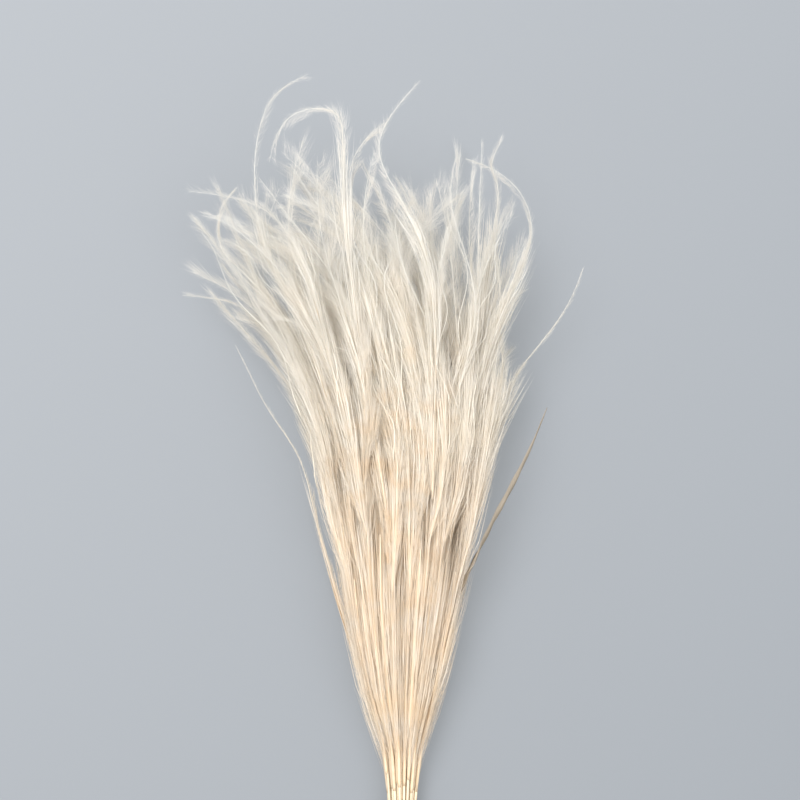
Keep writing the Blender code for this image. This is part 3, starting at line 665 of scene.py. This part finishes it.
class Surface:
    """One piece's mesh in the making: triangles with their places on the UV rows, and finishes."""

    def __init__(self):
        self.rows = []
        self.count = 0

    def add(self, points, faces, uv, finish, soft, shade):
        """Adds points (n, 3), triangles (m, 3) with their UV (m, 3, 2) in a row of its own."""
        place = np.clip(uv, 0.0, 1.0) * [0.996, 0.9] + [0.002, 0.05]
        place[..., 1] = (place[..., 1] + len(self.rows)) / UV_ROWS
        finish, soft = np.full(len(faces), finish, np.int32), np.full(len(faces), soft)
        self.rows.append((points, faces + self.count, place, finish, soft, shade))
        self.count += len(points)

    def grid(self, grid, finish, shade=0.0):
        """A closed tube through rings of points (stations, round, 3), with a fan over each end."""
        stations, sides = grid.shape[:2]
        i, j = np.meshgrid(np.arange(stations - 1), np.arange(sides), indexing="ij")
        k = (j + 1) % sides
        a, b, c, d = i * sides + j, i * sides + k, (i + 1) * sides + k, (i + 1) * sides + j
        faces = np.stack([a, b, c, a, c, d], axis=-1).reshape(-1, 3)
        u0, u1 = i / (stations - 1), (i + 1) / (stations - 1)
        v0, v1 = j / sides, (j + 1) / sides
        uv = np.stack([u0, v0, u0, v1, u1, v1, u0, v0, u1, v1, u1, v0], axis=-1).reshape(-1, 3, 2)
        near, far = stations * sides, stations * sides + 1
        ring = np.arange(sides)
        turn = (ring + 1) % sides
        last = (stations - 1) * sides
        caps = np.concatenate([
            np.stack([np.full(sides, near), turn, ring], axis=1),
            np.stack([np.full(sides, far), last + ring, last + turn], axis=1)])
        cap_uv = np.tile([[0.0, 0.5], [0.004, 0.0], [0.004, 1.0]], (2 * sides, 1, 1))
        cap_uv[sides:, :, 0] = 1 - cap_uv[sides:, :, 0]
        points = np.concatenate([grid.reshape(-1, 3), grid[0].mean(0)[None], grid[-1].mean(0)[None]])
        shades = np.broadcast_to(shade, stations)
        spread = np.concatenate([np.repeat(shades, sides), shades[:1], shades[-1:]])
        faces, uv = np.concatenate([faces, caps]), np.concatenate([uv, cap_uv])
        self.add(points, faces, uv, finish, True, spread)

    def ribbon(self, path, half, across, rise, thick, shade):
        """A thin closed strip: at each share across its half width, it rises so far off the line."""
        top = path.line[:, None] + path.side[:, None] * (half[:, None] * across)[..., None]
        top = top + path.out[:, None] * rise[..., None]
        under = top[:, ::-1] - path.out[:, None] * np.minimum(thick, 0.3 * half)[:, None, None]
        self.grid(np.concatenate([top, under], axis=1)[:, ::-1], PAPER, shade)

    def kites(self, foot, middle, tip, broad, at, order, shade):
        """Slender kites, each a foot, two points beside its middle and a tip, in two triangles."""
        points = np.stack([foot, middle - broad, middle + broad, tip], axis=1).reshape(-1, 3)
        faces = (4 * np.arange(len(foot))[:, None] + order).reshape(-1, 3)
        u = np.stack([at, at - KITE_UV, at + KITE_UV, at], axis=1)
        v = np.broadcast_to([0.0, 0.45, 0.45, 1.0], u.shape)
        uv = np.stack([u, v], axis=-1)[:, order].reshape(-1, 3, 2)
        self.add(points, faces, uv, HAIR, False, np.repeat(shade, 4))

    def made(self, name, finishes):
        """The mesh object: all points, triangles, UV and shades set as whole arrays.

        Hairs that stand over the bundle's top bend down, and nothing reaches into the surface.
        """
        points, faces, uv, finish, soft, shade = (np.concatenate(rows) for rows in zip(*self.rows))
        points = points - ORIGIN
        above = np.maximum(points[:, 2] - TOP_LINE, 0.0)
        points[:, 2] = np.maximum(points[:, 2] - BENT_DOWN * above, CLEAR_OF_FLOOR)
        mesh = bpy.data.meshes.new(name)
        mesh.vertices.add(len(points))
        mesh.loops.add(faces.size)
        mesh.polygons.add(len(faces))
        for items, key, values in (
            (mesh.vertices, "co", points.astype(np.float32)),
            (mesh.loops, "vertex_index", faces.astype(np.int32)),
            (mesh.polygons, "loop_start", np.arange(0, faces.size, 3, dtype=np.int32)),
            (mesh.polygons, "material_index", finish),
            (mesh.polygons, "use_smooth", soft),
        ):
            items.foreach_set(key, values.ravel())
        uv_map = mesh.uv_layers.new(name="OFBake")
        uv_map.data.foreach_set("uv", uv.astype(np.float32).ravel())
        tones = mesh.attributes.new("shade", "FLOAT", "POINT")
        tones.data.foreach_set("value", shade.astype(np.float32))
        mesh.update(calc_edges=True)
        for finish in finishes:
            mesh.materials.append(finish)
        return placed(name, mesh)


def placed(name, data):
    """A new object in the scene."""
    thing = bpy.data.objects.new(name, data)
    bpy.context.scene.collection.objects.link(thing)
    return thing


def draw_stem(surface, strand, rng, top):
    """A straw: a round tube, a little thicker at its joints, hollow where it was cut, with painted shade
    inside the hollow.
    """
    line, index = fine_line(strand.points, STEM_STEPS)
    seen = line[:, 1] < top
    line, index = line[seen], index[seen]
    path = Path(line)
    radius = np.interp(index, np.arange(len(strand.half)), strand.half)
    y = line[:, 1]
    joints = rng.uniform(0.0, 1.0, 3) * [0.05, 0.06, 0.07] + [0.035, 0.13, 0.22]
    knob = np.exp(-(((y[:, None] - joints) / JOINT_LONG) ** 2)).sum(1)
    radius = radius * (1 + 0.16 * knob) * (1 + 0.03 * np.sin(220 * y + rng.uniform(0, 6)))
    radius = radius * np.interp(y, [0.0, 0.16, 0.30], [1.0, 0.95, 0.50])
    radius = radius * np.minimum(1, 0.08 + (y[-1] - y) / STEM_THINS)
    draw_fibres(surface, path.cut(y > FIBRES_FROM), rng, *STEM_FIBRES)
    deep = line[0] + (line[1] - line[0]) * 0.15
    out, side = (np.vstack([way[:1], way[:1], way]) for way in (path.out, path.side))
    path = Path(np.vstack([deep, line[0], line]), out, side)
    radius = np.concatenate([[radius[0] * 0.50, radius[0] * 0.62], radius])
    # Painted shade: the inside of the cut end is much darker, and its inner edge a little darker. The
    # joints are darker in their own colour, and each stem has its own random tone.
    shade = np.concatenate([[-0.75, -0.1], rng.normal(-0.07, 0.12) - 0.55 * knob])
    surface.grid(path.rings(radius, STEM_ROUND), STRAW, shade)


def draw_leaf(surface, strand, rng):
    """A dry leaf: a thin curled ribbon, twisting a little, its edges rolled in.

    Across it, it rises as 0.42 of one less the share to the power 1.8, with a rib in the middle.
    """
    line, index = fine_line(strand.points, LEAF_STEPS)
    path = Path(line)
    share = index / index[-1]
    sheath = strand.name == "right_sheath"
    broad, tone = SHEATH_LOOK if sheath else (LEAF_BROAD, rng.uniform(-0.20, 0.0))
    half = broad * np.interp(index, np.arange(len(strand.half)), strand.half)
    half = half * np.minimum(1, 0.25 + share / 0.14)
    wave = np.sin(rng.uniform(0, 6) + rng.uniform(4, 9) * share)
    turned = Path(line, *path.turned(0.5 * wave * np.minimum(1, share / 0.2)))
    s = np.array([-1.0, -0.62, -0.2, 0.2, 0.62, 1.0])
    bow = 0.42 * (1 - np.abs(s) ** 1.8) + 0.10 * np.exp(-((s / 0.16) ** 2))
    ripple = 0.10 * np.sin(rng.uniform(0, 6) + 60 * share[:, None] + 2.0 * s[None, :])
    surface.ribbon(turned, half, s, half[:, None] * (bow + ripple), LEAF_THICK, tone)
    if not sheath:
        draw_fibres(surface, path.cut(share > 0.25), rng, *LEAF_FIBRES)


def draw_hairs(surface, path, share, rng, count, reach, ends, tone):
    """Fine hairs on an awn: each is a slender kite that leans forward and bends towards the tip.

    A hair starts on the axis, at a share of the awn. It leaves at an angle from the axis, to one
    side or the other more than up or down, and its outer part turns on by another angle. Some
    lie as a veil, whose side, angles and length are slow sines of the share; the others are random.
    """
    at = np.sort(0.012 + 0.975 * rng.random(count) ** 1.30)
    k = np.clip(np.searchsorted(share, at) - 1, 0, len(share) - 2)
    t = ((at - share[k]) / (share[k + 1] - share[k]))[:, None]
    foot, up, across = (a[k] * (1 - t) + a[k + 1] * t for a in (path.line, path.out, path.side))
    way = path.line[k + 1] - path.line[k]
    way /= np.linalg.norm(way, axis=1)[:, None]
    veil = rng.random(count) < 0.40 + 0.25 * at
    wave, swell, turning = (np.sin(rng.uniform(0, 6) + rng.uniform(14, 34) * at) for _ in range(3))

    def sway(middle, amount, slow, spread):
        return middle + amount * slow + rng.normal(0, spread, count)

    def mixed(slow, low, high):
        return np.where(veil, slow, rng.uniform(low, high, count))

    def heading(angle):
        return way * np.cos(angle)[:, None] + around * np.sin(angle)[:, None]

    drift = rng.uniform(0, 2 * math.pi) + rng.uniform(-3.5, 3.5) * at + rng.normal(0, 0.50, count)
    turn = mixed(drift, 0, 2 * math.pi)
    around = Path(foot, 0.62 * up, across).turned(turn)[1]
    grow = np.interp(at, [0.01, 0.08, 0.30, 0.50, 0.80, 1.0], [0.90, 1.40, 1.35, 1.20, 1.10, 0.60])
    tuft = 0.30 * np.sin(rng.uniform(0, 6) + rng.uniform(50, 80) * at)
    tuft = 1 + tuft * np.sin(rng.uniform(0, 6) + 23 * at)
    long = reach * grow * tuft * mixed(sway(1.60, 0.40, swell, 0.14), 0.5, 1.2)
    long *= np.interp(at, [0.35, 0.60], [1.0, ends])
    lean = mixed(sway(0.85, 0.35, wave, 0.12), 0.3, 1.3)
    first = heading(lean * np.interp(at, [0.0, 0.15, 0.5, 1.0], [0.35, 0.65, 0.95, 0.90]))
    bend = mixed(sway(0.85, 0.55, turning, 0.16), -0.2, 1.8)
    second = heading(bend * np.interp(at, [0.0, 0.3, 0.6, 1.0], [0.09, 0.20, 0.42, 0.50]))
    middle = foot + first * (np.where(veil, 0.36, 0.32) * long)[:, None]
    tip = middle + second * (np.where(veil, 0.64, 0.68) * long)[:, None]
    face = rng.normal(size=(count, 3))
    face -= first * (face * first).sum(1)[:, None]
    face /= np.linalg.norm(face, axis=1)[:, None]
    face *= np.where((face * (around + 0.6 * up)).sum(1) < 0, -1.0, 1.0)[:, None]
    wide = np.interp(at, [0.0, 0.3, 0.6, 1.0], HAIR_HALF)
    broad = np.cross(first, face) * (wide * rng.uniform(0.7, 1.3, count))[:, None]
    shade = tone + rng.normal(0, 0.05, count)
    surface.kites(foot, middle, tip, broad, at, [0, 1, 2, 1, 3, 2], shade)


def draw_awn(surface, strand, rng):
    """An awn: a seed on a bare foot, then a fine axis with hairs all along it."""
    line, index = fine_line(relaxed(strand.points), AWN_STEPS)
    path = Path(line)
    share = index / index[-1]
    along = share * np.linalg.norm(np.diff(line, axis=0), axis=1).sum()
    seed = SEED_WIDE * np.exp(-(((along - SEED_PLACE) / SEED_LONG) ** 2))
    radius = np.maximum(AXIS_HALF[1] * (1 - share) ** 0.8 + AXIS_HALF[0], seed)
    surface.grid(path.rings(radius, AWN_ROUND), AXIS, -0.45 * seed / SEED_WIDE)
    hairs = (HAIRS, rng.choice(HAIR_LENGTHS, p=LENGTH_ODDS), 1.0, rng.normal(0, 0.08))
    outer = strand.name in OUTER_AWNS
    if outer:
        hairs = STRAY_HAIRS.get(strand.name, OUTER_HAIRS)
    draw_hairs(surface, path, share, rng, *hairs)
    for turn in rng.normal(0, 0.9, 2):
        draw_glume(surface, path, along, rng, turn)
    lower = path.cut(share < 0.62)
    fibres = FULL_FIBRES if lower.line[-1, 0] > FULL_X else AWN_FIBRES
    if strand.name == "left_stray":
        fibres = STRAY_FIBRES
    draw_fibres(surface, lower, rng, *fibres)
    high = line[len(line) // 2, 2] > CURL_HEIGHT
    if not outer and rng.random() < CURL_ODDS[int(high)]:
        draw_curl(surface, path, share, rng)


def draw_fibres(surface, path, rng, count, longest, spread):
    """Loose flat fibres split from the straw: slender kites that run along it and stand off it.

    Each starts at a share of the line's length and keeps its own side of it. Its foot is close to
    the line, its middle a little further off and its tip furthest.
    """
    along = path.along()
    long = rng.uniform(0.4, 1.0, count) * longest
    start = rng.random(count) * (along[-1] - long)
    turn = rng.uniform(0, 2 * math.pi, count)
    off = 0.0010 + spread * rng.random(count) ** 1.3
    spots, ways = [], []
    for share, away in ((0.0, 0.15), (0.45, 0.75), (1.0, 1.0)):
        there = path.at(start + share * long, along)
        ways.append(there.turned(turn)[1])
        spots.append(there.line + ways[-1] * (away * off)[:, None])
    foot, middle, tip = spots
    broad = np.cross(tip - foot, ways[1] + 0.5 * rng.normal(size=(count, 3)))
    broad *= (rng.uniform(*FIBRE_HALF, count) / np.linalg.norm(broad, axis=1))[:, None]
    shade = rng.normal(0.02, 0.07, count)
    surface.kites(foot, middle, tip, broad, start / along[-1], [0, 2, 1, 1, 2, 3], shade)


def draw_curl(surface, path, share, rng):
    """A bare bristle that curls along an awn: its distance to both sides is a sine of the share."""
    part = (share > rng.uniform(0.22, 0.40)) & (share < rng.uniform(0.75, 0.97))
    path, way = path.cut(part), share[part]
    ease = np.clip(np.linspace(0, 5, len(way)), 0, 1)
    swing = ease * rng.uniform(0.004, 0.008) * np.sin(rng.uniform(0, 6) + rng.uniform(14, 26) * way)
    above = 0.007 + 0.003 * np.cos(17 * way)
    path.line = path.line + path.side * swing[:, None] + path.out * above[:, None]
    radius = np.interp(np.linspace(0, 1, len(way)), [0, 0.5, 1], CURL_HALF)
    surface.grid(path.rings(radius, AWN_ROUND), AXIS)


def draw_glume(surface, path, along, rng, turn):
    """A papery husk beside an awn's foot: a thin hollow ribbon, widest low down, drawn to a hair.

    It follows the awn for its own length, turned to one side of it, and its half width is a sine
    of the share to the power 0.55.
    """
    long = rng.uniform(*GLUME_LONG)
    at = np.linspace(0.0, long, GLUME_STATIONS)
    share = at / long
    path = path.at(at, along)
    path.out, path.side = path.turned(-turn - 0.5 * np.sin(rng.uniform(0, 6) + 5 * share))
    widest = rng.uniform(*GLUME_HALF)
    half = widest * np.sin(math.pi * (0.05 + 0.95 * share) ** 0.55) ** 1.2 + 0.00006
    path.line = path.line + path.out * (0.0005 + 0.0012 * np.sin(math.pi * share))[:, None]
    s = np.array([-1.0, 0.0, 1.0])
    rise = 0.45 * half[:, None] * (1 - s**2)
    surface.ribbon(path, half, s, rise, GLUME_THICK, rng.uniform(-0.06, 0.10))


def draw_sleeve(surface, stem, leaf, rng):
    """The foot of a leaf, wrapped round its stem from the tie up to where the blade stands off."""
    low, high = TIE_Y + rng.uniform(0.011, 0.032), leaf.points[0, 1] + rng.uniform(0.010, 0.030)
    y = np.linspace(low, high, SLEEVE_STATIONS)
    share = np.linspace(0, 1, SLEEVE_STATIONS)
    path = Path(along_line(y, stem.points[:, 1], stem.points))
    bulge = 0.00035 * np.sin(math.pi * share) ** 0.5
    radius = np.interp(y, stem.points[:, 1], stem.half) - 0.00005 + bulge
    surface.grid(path.rings(radius, STEM_ROUND), PAPER, rng.uniform(-0.14, 0.04))


class Wire:
    """A shader socket: arithmetic on it adds Math nodes to its material."""

    def __init__(self, finish, socket):
        self.finish = finish
        self.socket = socket

    def math(self, operation, *values, clamp=False):
        """A Math node on the values, which are wires or numbers."""
        settings = {"operation": operation, "use_clamp": clamp}
        return self.finish.node("ShaderNodeMath", settings, dict(enumerate(values)))

    def __add__(self, other):
        return self.math("ADD", self, other)

    __radd__ = __add__

    def __sub__(self, other):
        return self.math("SUBTRACT", self, other)

    def __rsub__(self, other):
        return self.math("SUBTRACT", other, self)

    def __mul__(self, other):
        return self.math("MULTIPLY", self, other)

    __rmul__ = __mul__

    def clamped(self):
        """The value, held between 0 and 1."""
        return self.math("ADD", self, 0.0, clamp=True)

    def away(self, place):
        """How far the value is from a place, to either side."""
        return self.math("ABSOLUTE", self - place)

    def part(self, name):
        """Another output of the same node."""
        return Wire(self.finish, self.socket.node.outputs[name])


class Finish:
    """A material in the making, with the colour that it has in a plain view."""

    def __init__(self, name, colour, roughness):
        self.material = bpy.data.materials.new(name)
        self.material.use_nodes = True
        self.tree = self.material.node_tree
        self.surface = self.tree.nodes["Principled BSDF"]
        self.material.diffuse_color = four(colour)
        self.surface.inputs["Roughness"].default_value = roughness
        self.surface.inputs["Metallic"].default_value = 0.0

    def node(self, kind, settings, sockets, output=0):
        """A node of a kind, its settings made first, then its sockets' values or links."""
        made = self.tree.nodes.new(kind)
        for name, value in settings.items():
            if name == "stops":
                ramp = made.color_ramp.elements
                while len(ramp) < len(value):
                    ramp.new(0.5)
                for stop, (place, colour) in zip(ramp, value):
                    stop.position = place
                    stop.color = four(colour)
            else:
                setattr(made, name, value)
        for name, value in sockets.items():
            socket = made.inputs[name] if isinstance(name, int) else next(
                s for s in made.inputs if name in (s.identifier, s.name))
            self.set(socket, value)
        return Wire(self, made.outputs[output])

    def set(self, socket, value):
        """Links a wire to a socket, or gives it a value."""
        if isinstance(value, Wire):
            self.tree.links.new(value.socket, socket)
        else:
            socket.default_value = value

    def object_place(self):
        """Object coordinates: the vector, and its x and y."""
        place = self.node("ShaderNodeTexCoord", {}, {}, "Object")
        parts = self.node("ShaderNodeSeparateXYZ", {}, {0: place})
        return place, parts.part("X"), parts.part("Y")

    def rows(self, along, across):
        """The piece's own UV, stretched along the strand and across it."""
        uv = self.node("ShaderNodeUVMap", {"uv_map": "OFBake"}, {})
        return self.node("ShaderNodeMapping", {}, {"Vector": uv, "Scale": (along, across, 1.0)})

    def noise(self, vector, scale, detail=2.0, rough=0.5):
        """A cloudy pattern from 0 to 1."""
        sockets = {"Vector": vector, "Scale": scale, "Detail": detail, "Roughness": rough}
        return self.node("ShaderNodeTexNoise", {}, sockets)

    def mix(self, factor, first, second, blend="MIX"):
        """Two colours mixed by a factor."""
        settings = {"data_type": "RGBA", "blend_type": blend}
        sockets = {"Factor_Float": factor, "A_Color": first, "B_Color": second}
        return self.node("ShaderNodeMix", settings, sockets, 2)

    def height_colour(self, stops):
        """A colour that changes from the cut ends up to the feathery tips."""
        _, _, y = self.object_place()
        return self.node("ShaderNodeValToRGB", {"stops": stops}, {0: (y * 1.5 + 0.5).clamped()})

    def shade(self):
        """The strand's own shade, set on its points."""
        return self.node("ShaderNodeAttribute", {"attribute_name": "shade"}, {}, "Fac")

    def lit(self, colour, amount):
        """A colour made lighter or darker by a signed amount."""
        factor = amount + 1.0
        grey = self.node("ShaderNodeCombineColor", {}, {0: factor, 1: factor, 2: factor})
        return self.mix(1.0, colour, grey, "MULTIPLY")

    def bump(self, height, strength, distance):
        """Relief from a pattern, in metres."""
        sockets = {"Height": height, "Strength": strength, "Distance": distance}
        self.set(self.surface.inputs["Normal"], self.node("ShaderNodeBump", {}, sockets))

    def paint(self, colour, see_through=0.0, through=(0.8, 0.8, 0.8)):
        """The base colour, and how much light of which colour passes through the thin form."""
        self.set(self.surface.inputs["Base Color"], colour)
        if see_through:
            thin = self.node("ShaderNodeBsdfTranslucent", {}, {"Color": four(through)})
            solid = Wire(self, self.surface.outputs[0])
            both = self.node("ShaderNodeMixShader", {}, {0: see_through, 1: solid, 2: thin})
            self.set(self.tree.nodes["Material Output"].inputs["Surface"], both)
        return self.material


def four(colour):
    """A colour with its alpha."""
    return (*colour, 1.0)


def straw():
    """Bleached straw: fine streaks along the stem, darker at its joints."""
    finish = Finish("straw", (0.86, 0.74, 0.54), 0.55)
    streak = finish.noise(finish.rows(18.0, 300.0), 1.0, 3.0)
    patch = finish.noise(finish.rows(9.0, 16.0), 1.0, 2.0)
    colour = finish.height_colour([(0.0, (0.70, 0.56, 0.37)), (0.22, (0.78, 0.64, 0.45)),
                                   (0.5, (0.93, 0.79, 0.60)), (0.8, (0.92, 0.82, 0.66))])
    colour = finish.mix((patch * 1.6 - 0.45).clamped(), colour, four((0.86, 0.73, 0.54)))
    colour = finish.lit(colour, (streak - 0.5) * 0.5 + finish.shade() * 0.8)
    finish.bump(streak, 0.35, 0.0002)
    return finish.paint(colour)


def papery():
    """Dry leaf: pale and papery with parallel veins, warm where it is thicker."""
    finish = Finish("papery_leaf", (0.90, 0.78, 0.58), 0.6)
    vein = finish.noise(finish.rows(5.0, 420.0), 1.0, 2.0)
    patch = finish.noise(finish.rows(7.0, 40.0), 1.0, 2.0)
    colour = finish.height_colour([(0.0, (0.76, 0.58, 0.36)), (0.25, (0.92, 0.74, 0.51)),
                                   (0.5, (0.94, 0.83, 0.67)), (0.8, (0.86, 0.81, 0.73))])
    colour = finish.mix((patch * 2.0 - 0.6).clamped(), colour, four((0.97, 0.84, 0.66)))
    colour = finish.lit(colour, (vein - 0.5) * 0.40 + finish.shade())
    finish.bump(vein, 0.4, 0.0003)
    return finish.paint(colour, 0.35, (0.92, 0.79, 0.62))


def feathery():
    """Hairs: cream below, greyer white towards the tips, with warm patches amid the bundle."""
    finish = Finish("feather_hair", (0.90, 0.84, 0.72), 0.6)
    place, x, y = finish.object_place()
    cloud = finish.noise(place, 26.0, 3.0)
    colour = finish.height_colour([(0.20, (0.97, 0.78, 0.56)), (0.44, (0.99, 0.85, 0.68)),
                                   (0.60, (0.88, 0.83, 0.735)), (0.78, (0.73, 0.725, 0.69)),
                                   (0.95, (0.67, 0.67, 0.66))])
    colour = finish.mix((cloud * 2.2 - 0.7).clamped(), colour, four((0.87, 0.83, 0.765)))
    warm = finish.noise(place, 55.0, 2.0)
    amid = (1.2 - y.away(-0.01) * 6.5).clamped() * (1.2 - x.away(0.012) * 16.0).clamped()
    warmth = amid * (warm * 4.0 - 1.7).clamped() * 0.8
    colour = finish.mix(warmth, colour, four((0.92, 0.72, 0.50)))
    colour = finish.lit(colour, finish.shade() * 0.8)
    return finish.paint(colour, 0.5, (0.86, 0.81, 0.73))


def axis_straw():
    """The awn's axis: nearly white, its seed a warm brown."""
    finish = Finish("awn_axis", (0.92, 0.88, 0.78), 0.4)
    colour = finish.height_colour([(0.2, (0.96, 0.80, 0.58)), (0.5, (0.95, 0.86, 0.70)),
                                   (0.78, (0.78, 0.77, 0.72))])
    colour = finish.mix((finish.shade() * -1.6).clamped(), colour, four((0.60, 0.42, 0.22)))
    return finish.paint(colour, 0.2, (0.93, 0.85, 0.70))


def jute():
    """Jute: brown fibres that run with the twist, paler where they stand out."""
    finish = Finish("jute_twine", (0.42, 0.29, 0.16), 0.9)
    fibre = finish.noise(finish.rows(90.0, 60.0), 1.0, 3.0, 0.7)
    patch = finish.noise(finish.rows(30.0, 8.0), 1.0, 2.0)
    deep, pale = four((0.22, 0.14, 0.07)), four((0.46, 0.33, 0.19))
    colour = finish.mix((fibre * 2.2 - 0.6).clamped(), deep, pale)
    colour = finish.mix((patch * 1.4 - 0.4).clamped(), colour, four((0.38, 0.27, 0.16)))
    colour = finish.lit(colour, finish.shade())
    finish.bump(fibre, 0.6, 0.0003)
    return finish.paint(colour)


def dress_sprays(strands, finishes):
    """One piece for each solid spray, with everything that grows from its stem."""
    for stem in strands[:STEM_COUNT]:
        rng = np.random.default_rng([SEED, 5, stem.stem])
        surface = Surface()
        grown = [strand for strand in strands[STEM_COUNT:] if strand.stem == stem.stem]
        head = max(strand.points[0, 1] for strand in grown if strand.kind == "awn")
        draw_stem(surface, stem, rng, head + STEM_BEYOND_HEAD)
        for strand in grown:
            if strand.kind == "awn":
                draw_awn(surface, strand, rng)
            if strand.kind == "leaf":
                draw_leaf(surface, strand, rng)
                draw_sleeve(surface, stem, strand, rng)
        number = f"{stem.stem + 1:02d}"
        piece = surface.made("feathered_spray_" + number, finishes)
        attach(piece, "root")
        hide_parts("spray_" + number)


def draw_twine(surface, path, radius):
    """Two-ply twine: a round section with two lobes that wind round the line as it goes."""
    angle = 2 * math.pi * np.arange(TWINE_ROUND) / TWINE_ROUND
    wound = angle[None, :] - TWINE_TWIST * path.along()[:, None]
    wide = radius[:, None] * (1 - 0.24 * np.abs(np.sin(wound)) ** 2)
    surface.grid(path.rings(wide, TWINE_ROUND), finish=0)


def round_tie(angle, radius, y):
    """Points at an angle round the tie's axis, measured from +X towards the top."""
    return np.stack([radius * np.cos(angle), y, TIE_HEIGHT + radius * np.sin(angle)], axis=-1)


# The knot's two strands over the turns, then the twine's two loose ends: the radius, how much of it
# is left at the ends, and the points, each as the angle from the knot, how far it is off the turns
# and how far along the stems.
KNOT = (
    (0.0019, 0.7, ((-0.30, -0.0016, -0.0046), (-0.14, 0.0008, -0.0026), (0.0, 0.0020, 0.0004),
                   (0.13, 0.0008, 0.0030), (0.28, -0.0016, 0.0048))),
    (0.0017, 0.7, ((-0.16, -0.0012, 0.0042), (-0.08, 0.0010, 0.0022), (0.02, 0.0012, -0.0004),
                   (0.12, -0.0012, -0.0040))),
    (0.0011, 0.6, ((0.0, -0.0002, 0.0), (-0.20, 0.0035, 0.002), (-0.42, 0.0062, 0.001),
                   (-0.60, 0.0100, -0.003))),
    (0.0011, 0.6, ((0.0, -0.0002, 0.0), (-0.16, 0.0030, -0.004), (-0.34, 0.0048, -0.011),
                   (-0.60, 0.0058, -0.018))),
)


def dress_tie(finish):
    """The twine: four turns wound side by side, a knot over them and two loose ends."""
    surface = Surface()
    turns = np.linspace(0, TIE_TURNS * 2 * math.pi, TIE_TURNS * 120)
    angle = KNOT_ANGLE + turns
    low = TIE_Y - TIE_TURNS * TWINE_PITCH / 2 + TWINE_PITCH / 2
    y = low + (TIE_TURNS - 1) * TWINE_PITCH * turns / turns[-1]
    line = round_tie(angle, WAIST_RADIUS + TWINE / 2, y)
    out = np.column_stack([np.cos(angle), 0 * angle, np.sin(angle)])
    way = np.gradient(line, axis=0)
    way /= np.linalg.norm(way, axis=1)[:, None]
    draw_twine(surface, Path(line, out, np.cross(way, out)), np.full(len(line), TWINE / 2))
    for radius, ends, places in KNOT:
        turn, off, up = np.array(places).T
        points = round_tie(KNOT_ANGLE + turn, WAIST_RADIUS + TWINE + off, TIE_Y + up)
        line = curve(points, TWINE_STEPS)
        wide = np.interp(np.linspace(0, 1, len(line)), [0, 0.04, 0.96, 1], [ends, 1, 1, ends])
        draw_twine(surface, Path(line), radius * wide)
    piece = surface.made("wound_twine", [finish])
    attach(piece, "root")
    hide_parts("tie")


def lay_floor():
    """A plain pale surface that the bundle lies on. Its light is painted: it glows by itself, so the
    bundle's shadow on it stays faint, and the glow is darker to the lower right as the lamps' light falls
    off.
    """
    half = 6.0
    corners = [(-half, -half, 0), (half, -half, 0), (half, half, 0), (-half, half, 0)]
    mesh = bpy.data.meshes.new("floor")
    mesh.from_pydata(corners, [], [(0, 1, 2, 3)])
    finish = Finish("pale_floor", (0.42, 0.44, 0.47), 0.9)
    # Painted light: a dark base colour under a glow, so that shadows on the floor stay faint.
    finish.surface.inputs["Base Color"].default_value = four((0.133, 0.141, 0.154))
    _, x, y = finish.object_place()
    # Painted falloff of light: the glow is brighter to the upper left and darker to the lower right.
    share = ((y - x) * 0.7 + 0.5).clamped()
    painted_glow = finish.mix(share, four((0.64, 0.68, 0.70)), four((1.03, 1.07, 1.09)))
    finish.set(finish.surface.inputs["Emission Color"], painted_glow)
    finish.surface.inputs["Emission Strength"].default_value = 0.25
    finish.surface.inputs["Specular IOR Level"].default_value = 0.1
    mesh.materials.append(finish.material)
    placed("floor", mesh)


def soft_light(name, place, size, watts, colour):
    """A large lamp that points at the bundle."""
    lamp = bpy.data.lights.new(name, "AREA")
    lamp.size = size
    lamp.energy = watts
    lamp.color = colour
    thing = placed(name, lamp)
    thing.location = place
    away = math.hypot(place[0], place[1])
    thing.rotation_euler = (math.atan2(away, place[2]), 0, math.atan2(-place[0], place[1]) + math.pi)
    thing.visible_camera = False


def light_up():
    """Soft daylight: a key lamp from the upper left, a weaker one from the right, and pale air."""
    soft_light("key", (-0.85, 1.0, 2.75), 1.8, 110, (1.0, 0.99, 0.98))
    soft_light("fill", (1.3, -0.4, 2.8), 2.4, 49, (0.97, 0.985, 1.0))
    world = bpy.data.worlds.new("studio")
    world.use_nodes = True
    air = world.node_tree.nodes["Background"].inputs
    air["Color"].default_value = four((0.93, 0.96, 1.0))
    air["Strength"].default_value = 0.85
    bpy.context.scene.world = world
    bpy.context.scene.view_settings.view_transform = "Standard"
    bpy.context.scene.view_settings.look = "None"


def set_camera():
    """Straight above the bundle, so that a picture 800 wide covers 0.64 m at half its height."""
    height, level, width = 2.6, 0.055, 0.64
    middle_x, middle_y = 0.0137, 0.0798
    lens = bpy.data.cameras.new("camera")
    lens.sensor_width = 36.0
    lens.lens = 36.0 * (height - level) / width
    camera = placed("camera", lens)
    camera.location = (middle_x, middle_y, height)
    bpy.context.scene.camera = camera


def main():
    """The camera, the lights and the floor, then the pieces."""
    set_camera()
    light_up()
    lay_floor()
    dress_sprays(layout(), [straw(), papery(), feathery(), axis_straw()])
    dress_tie(jute())


main()
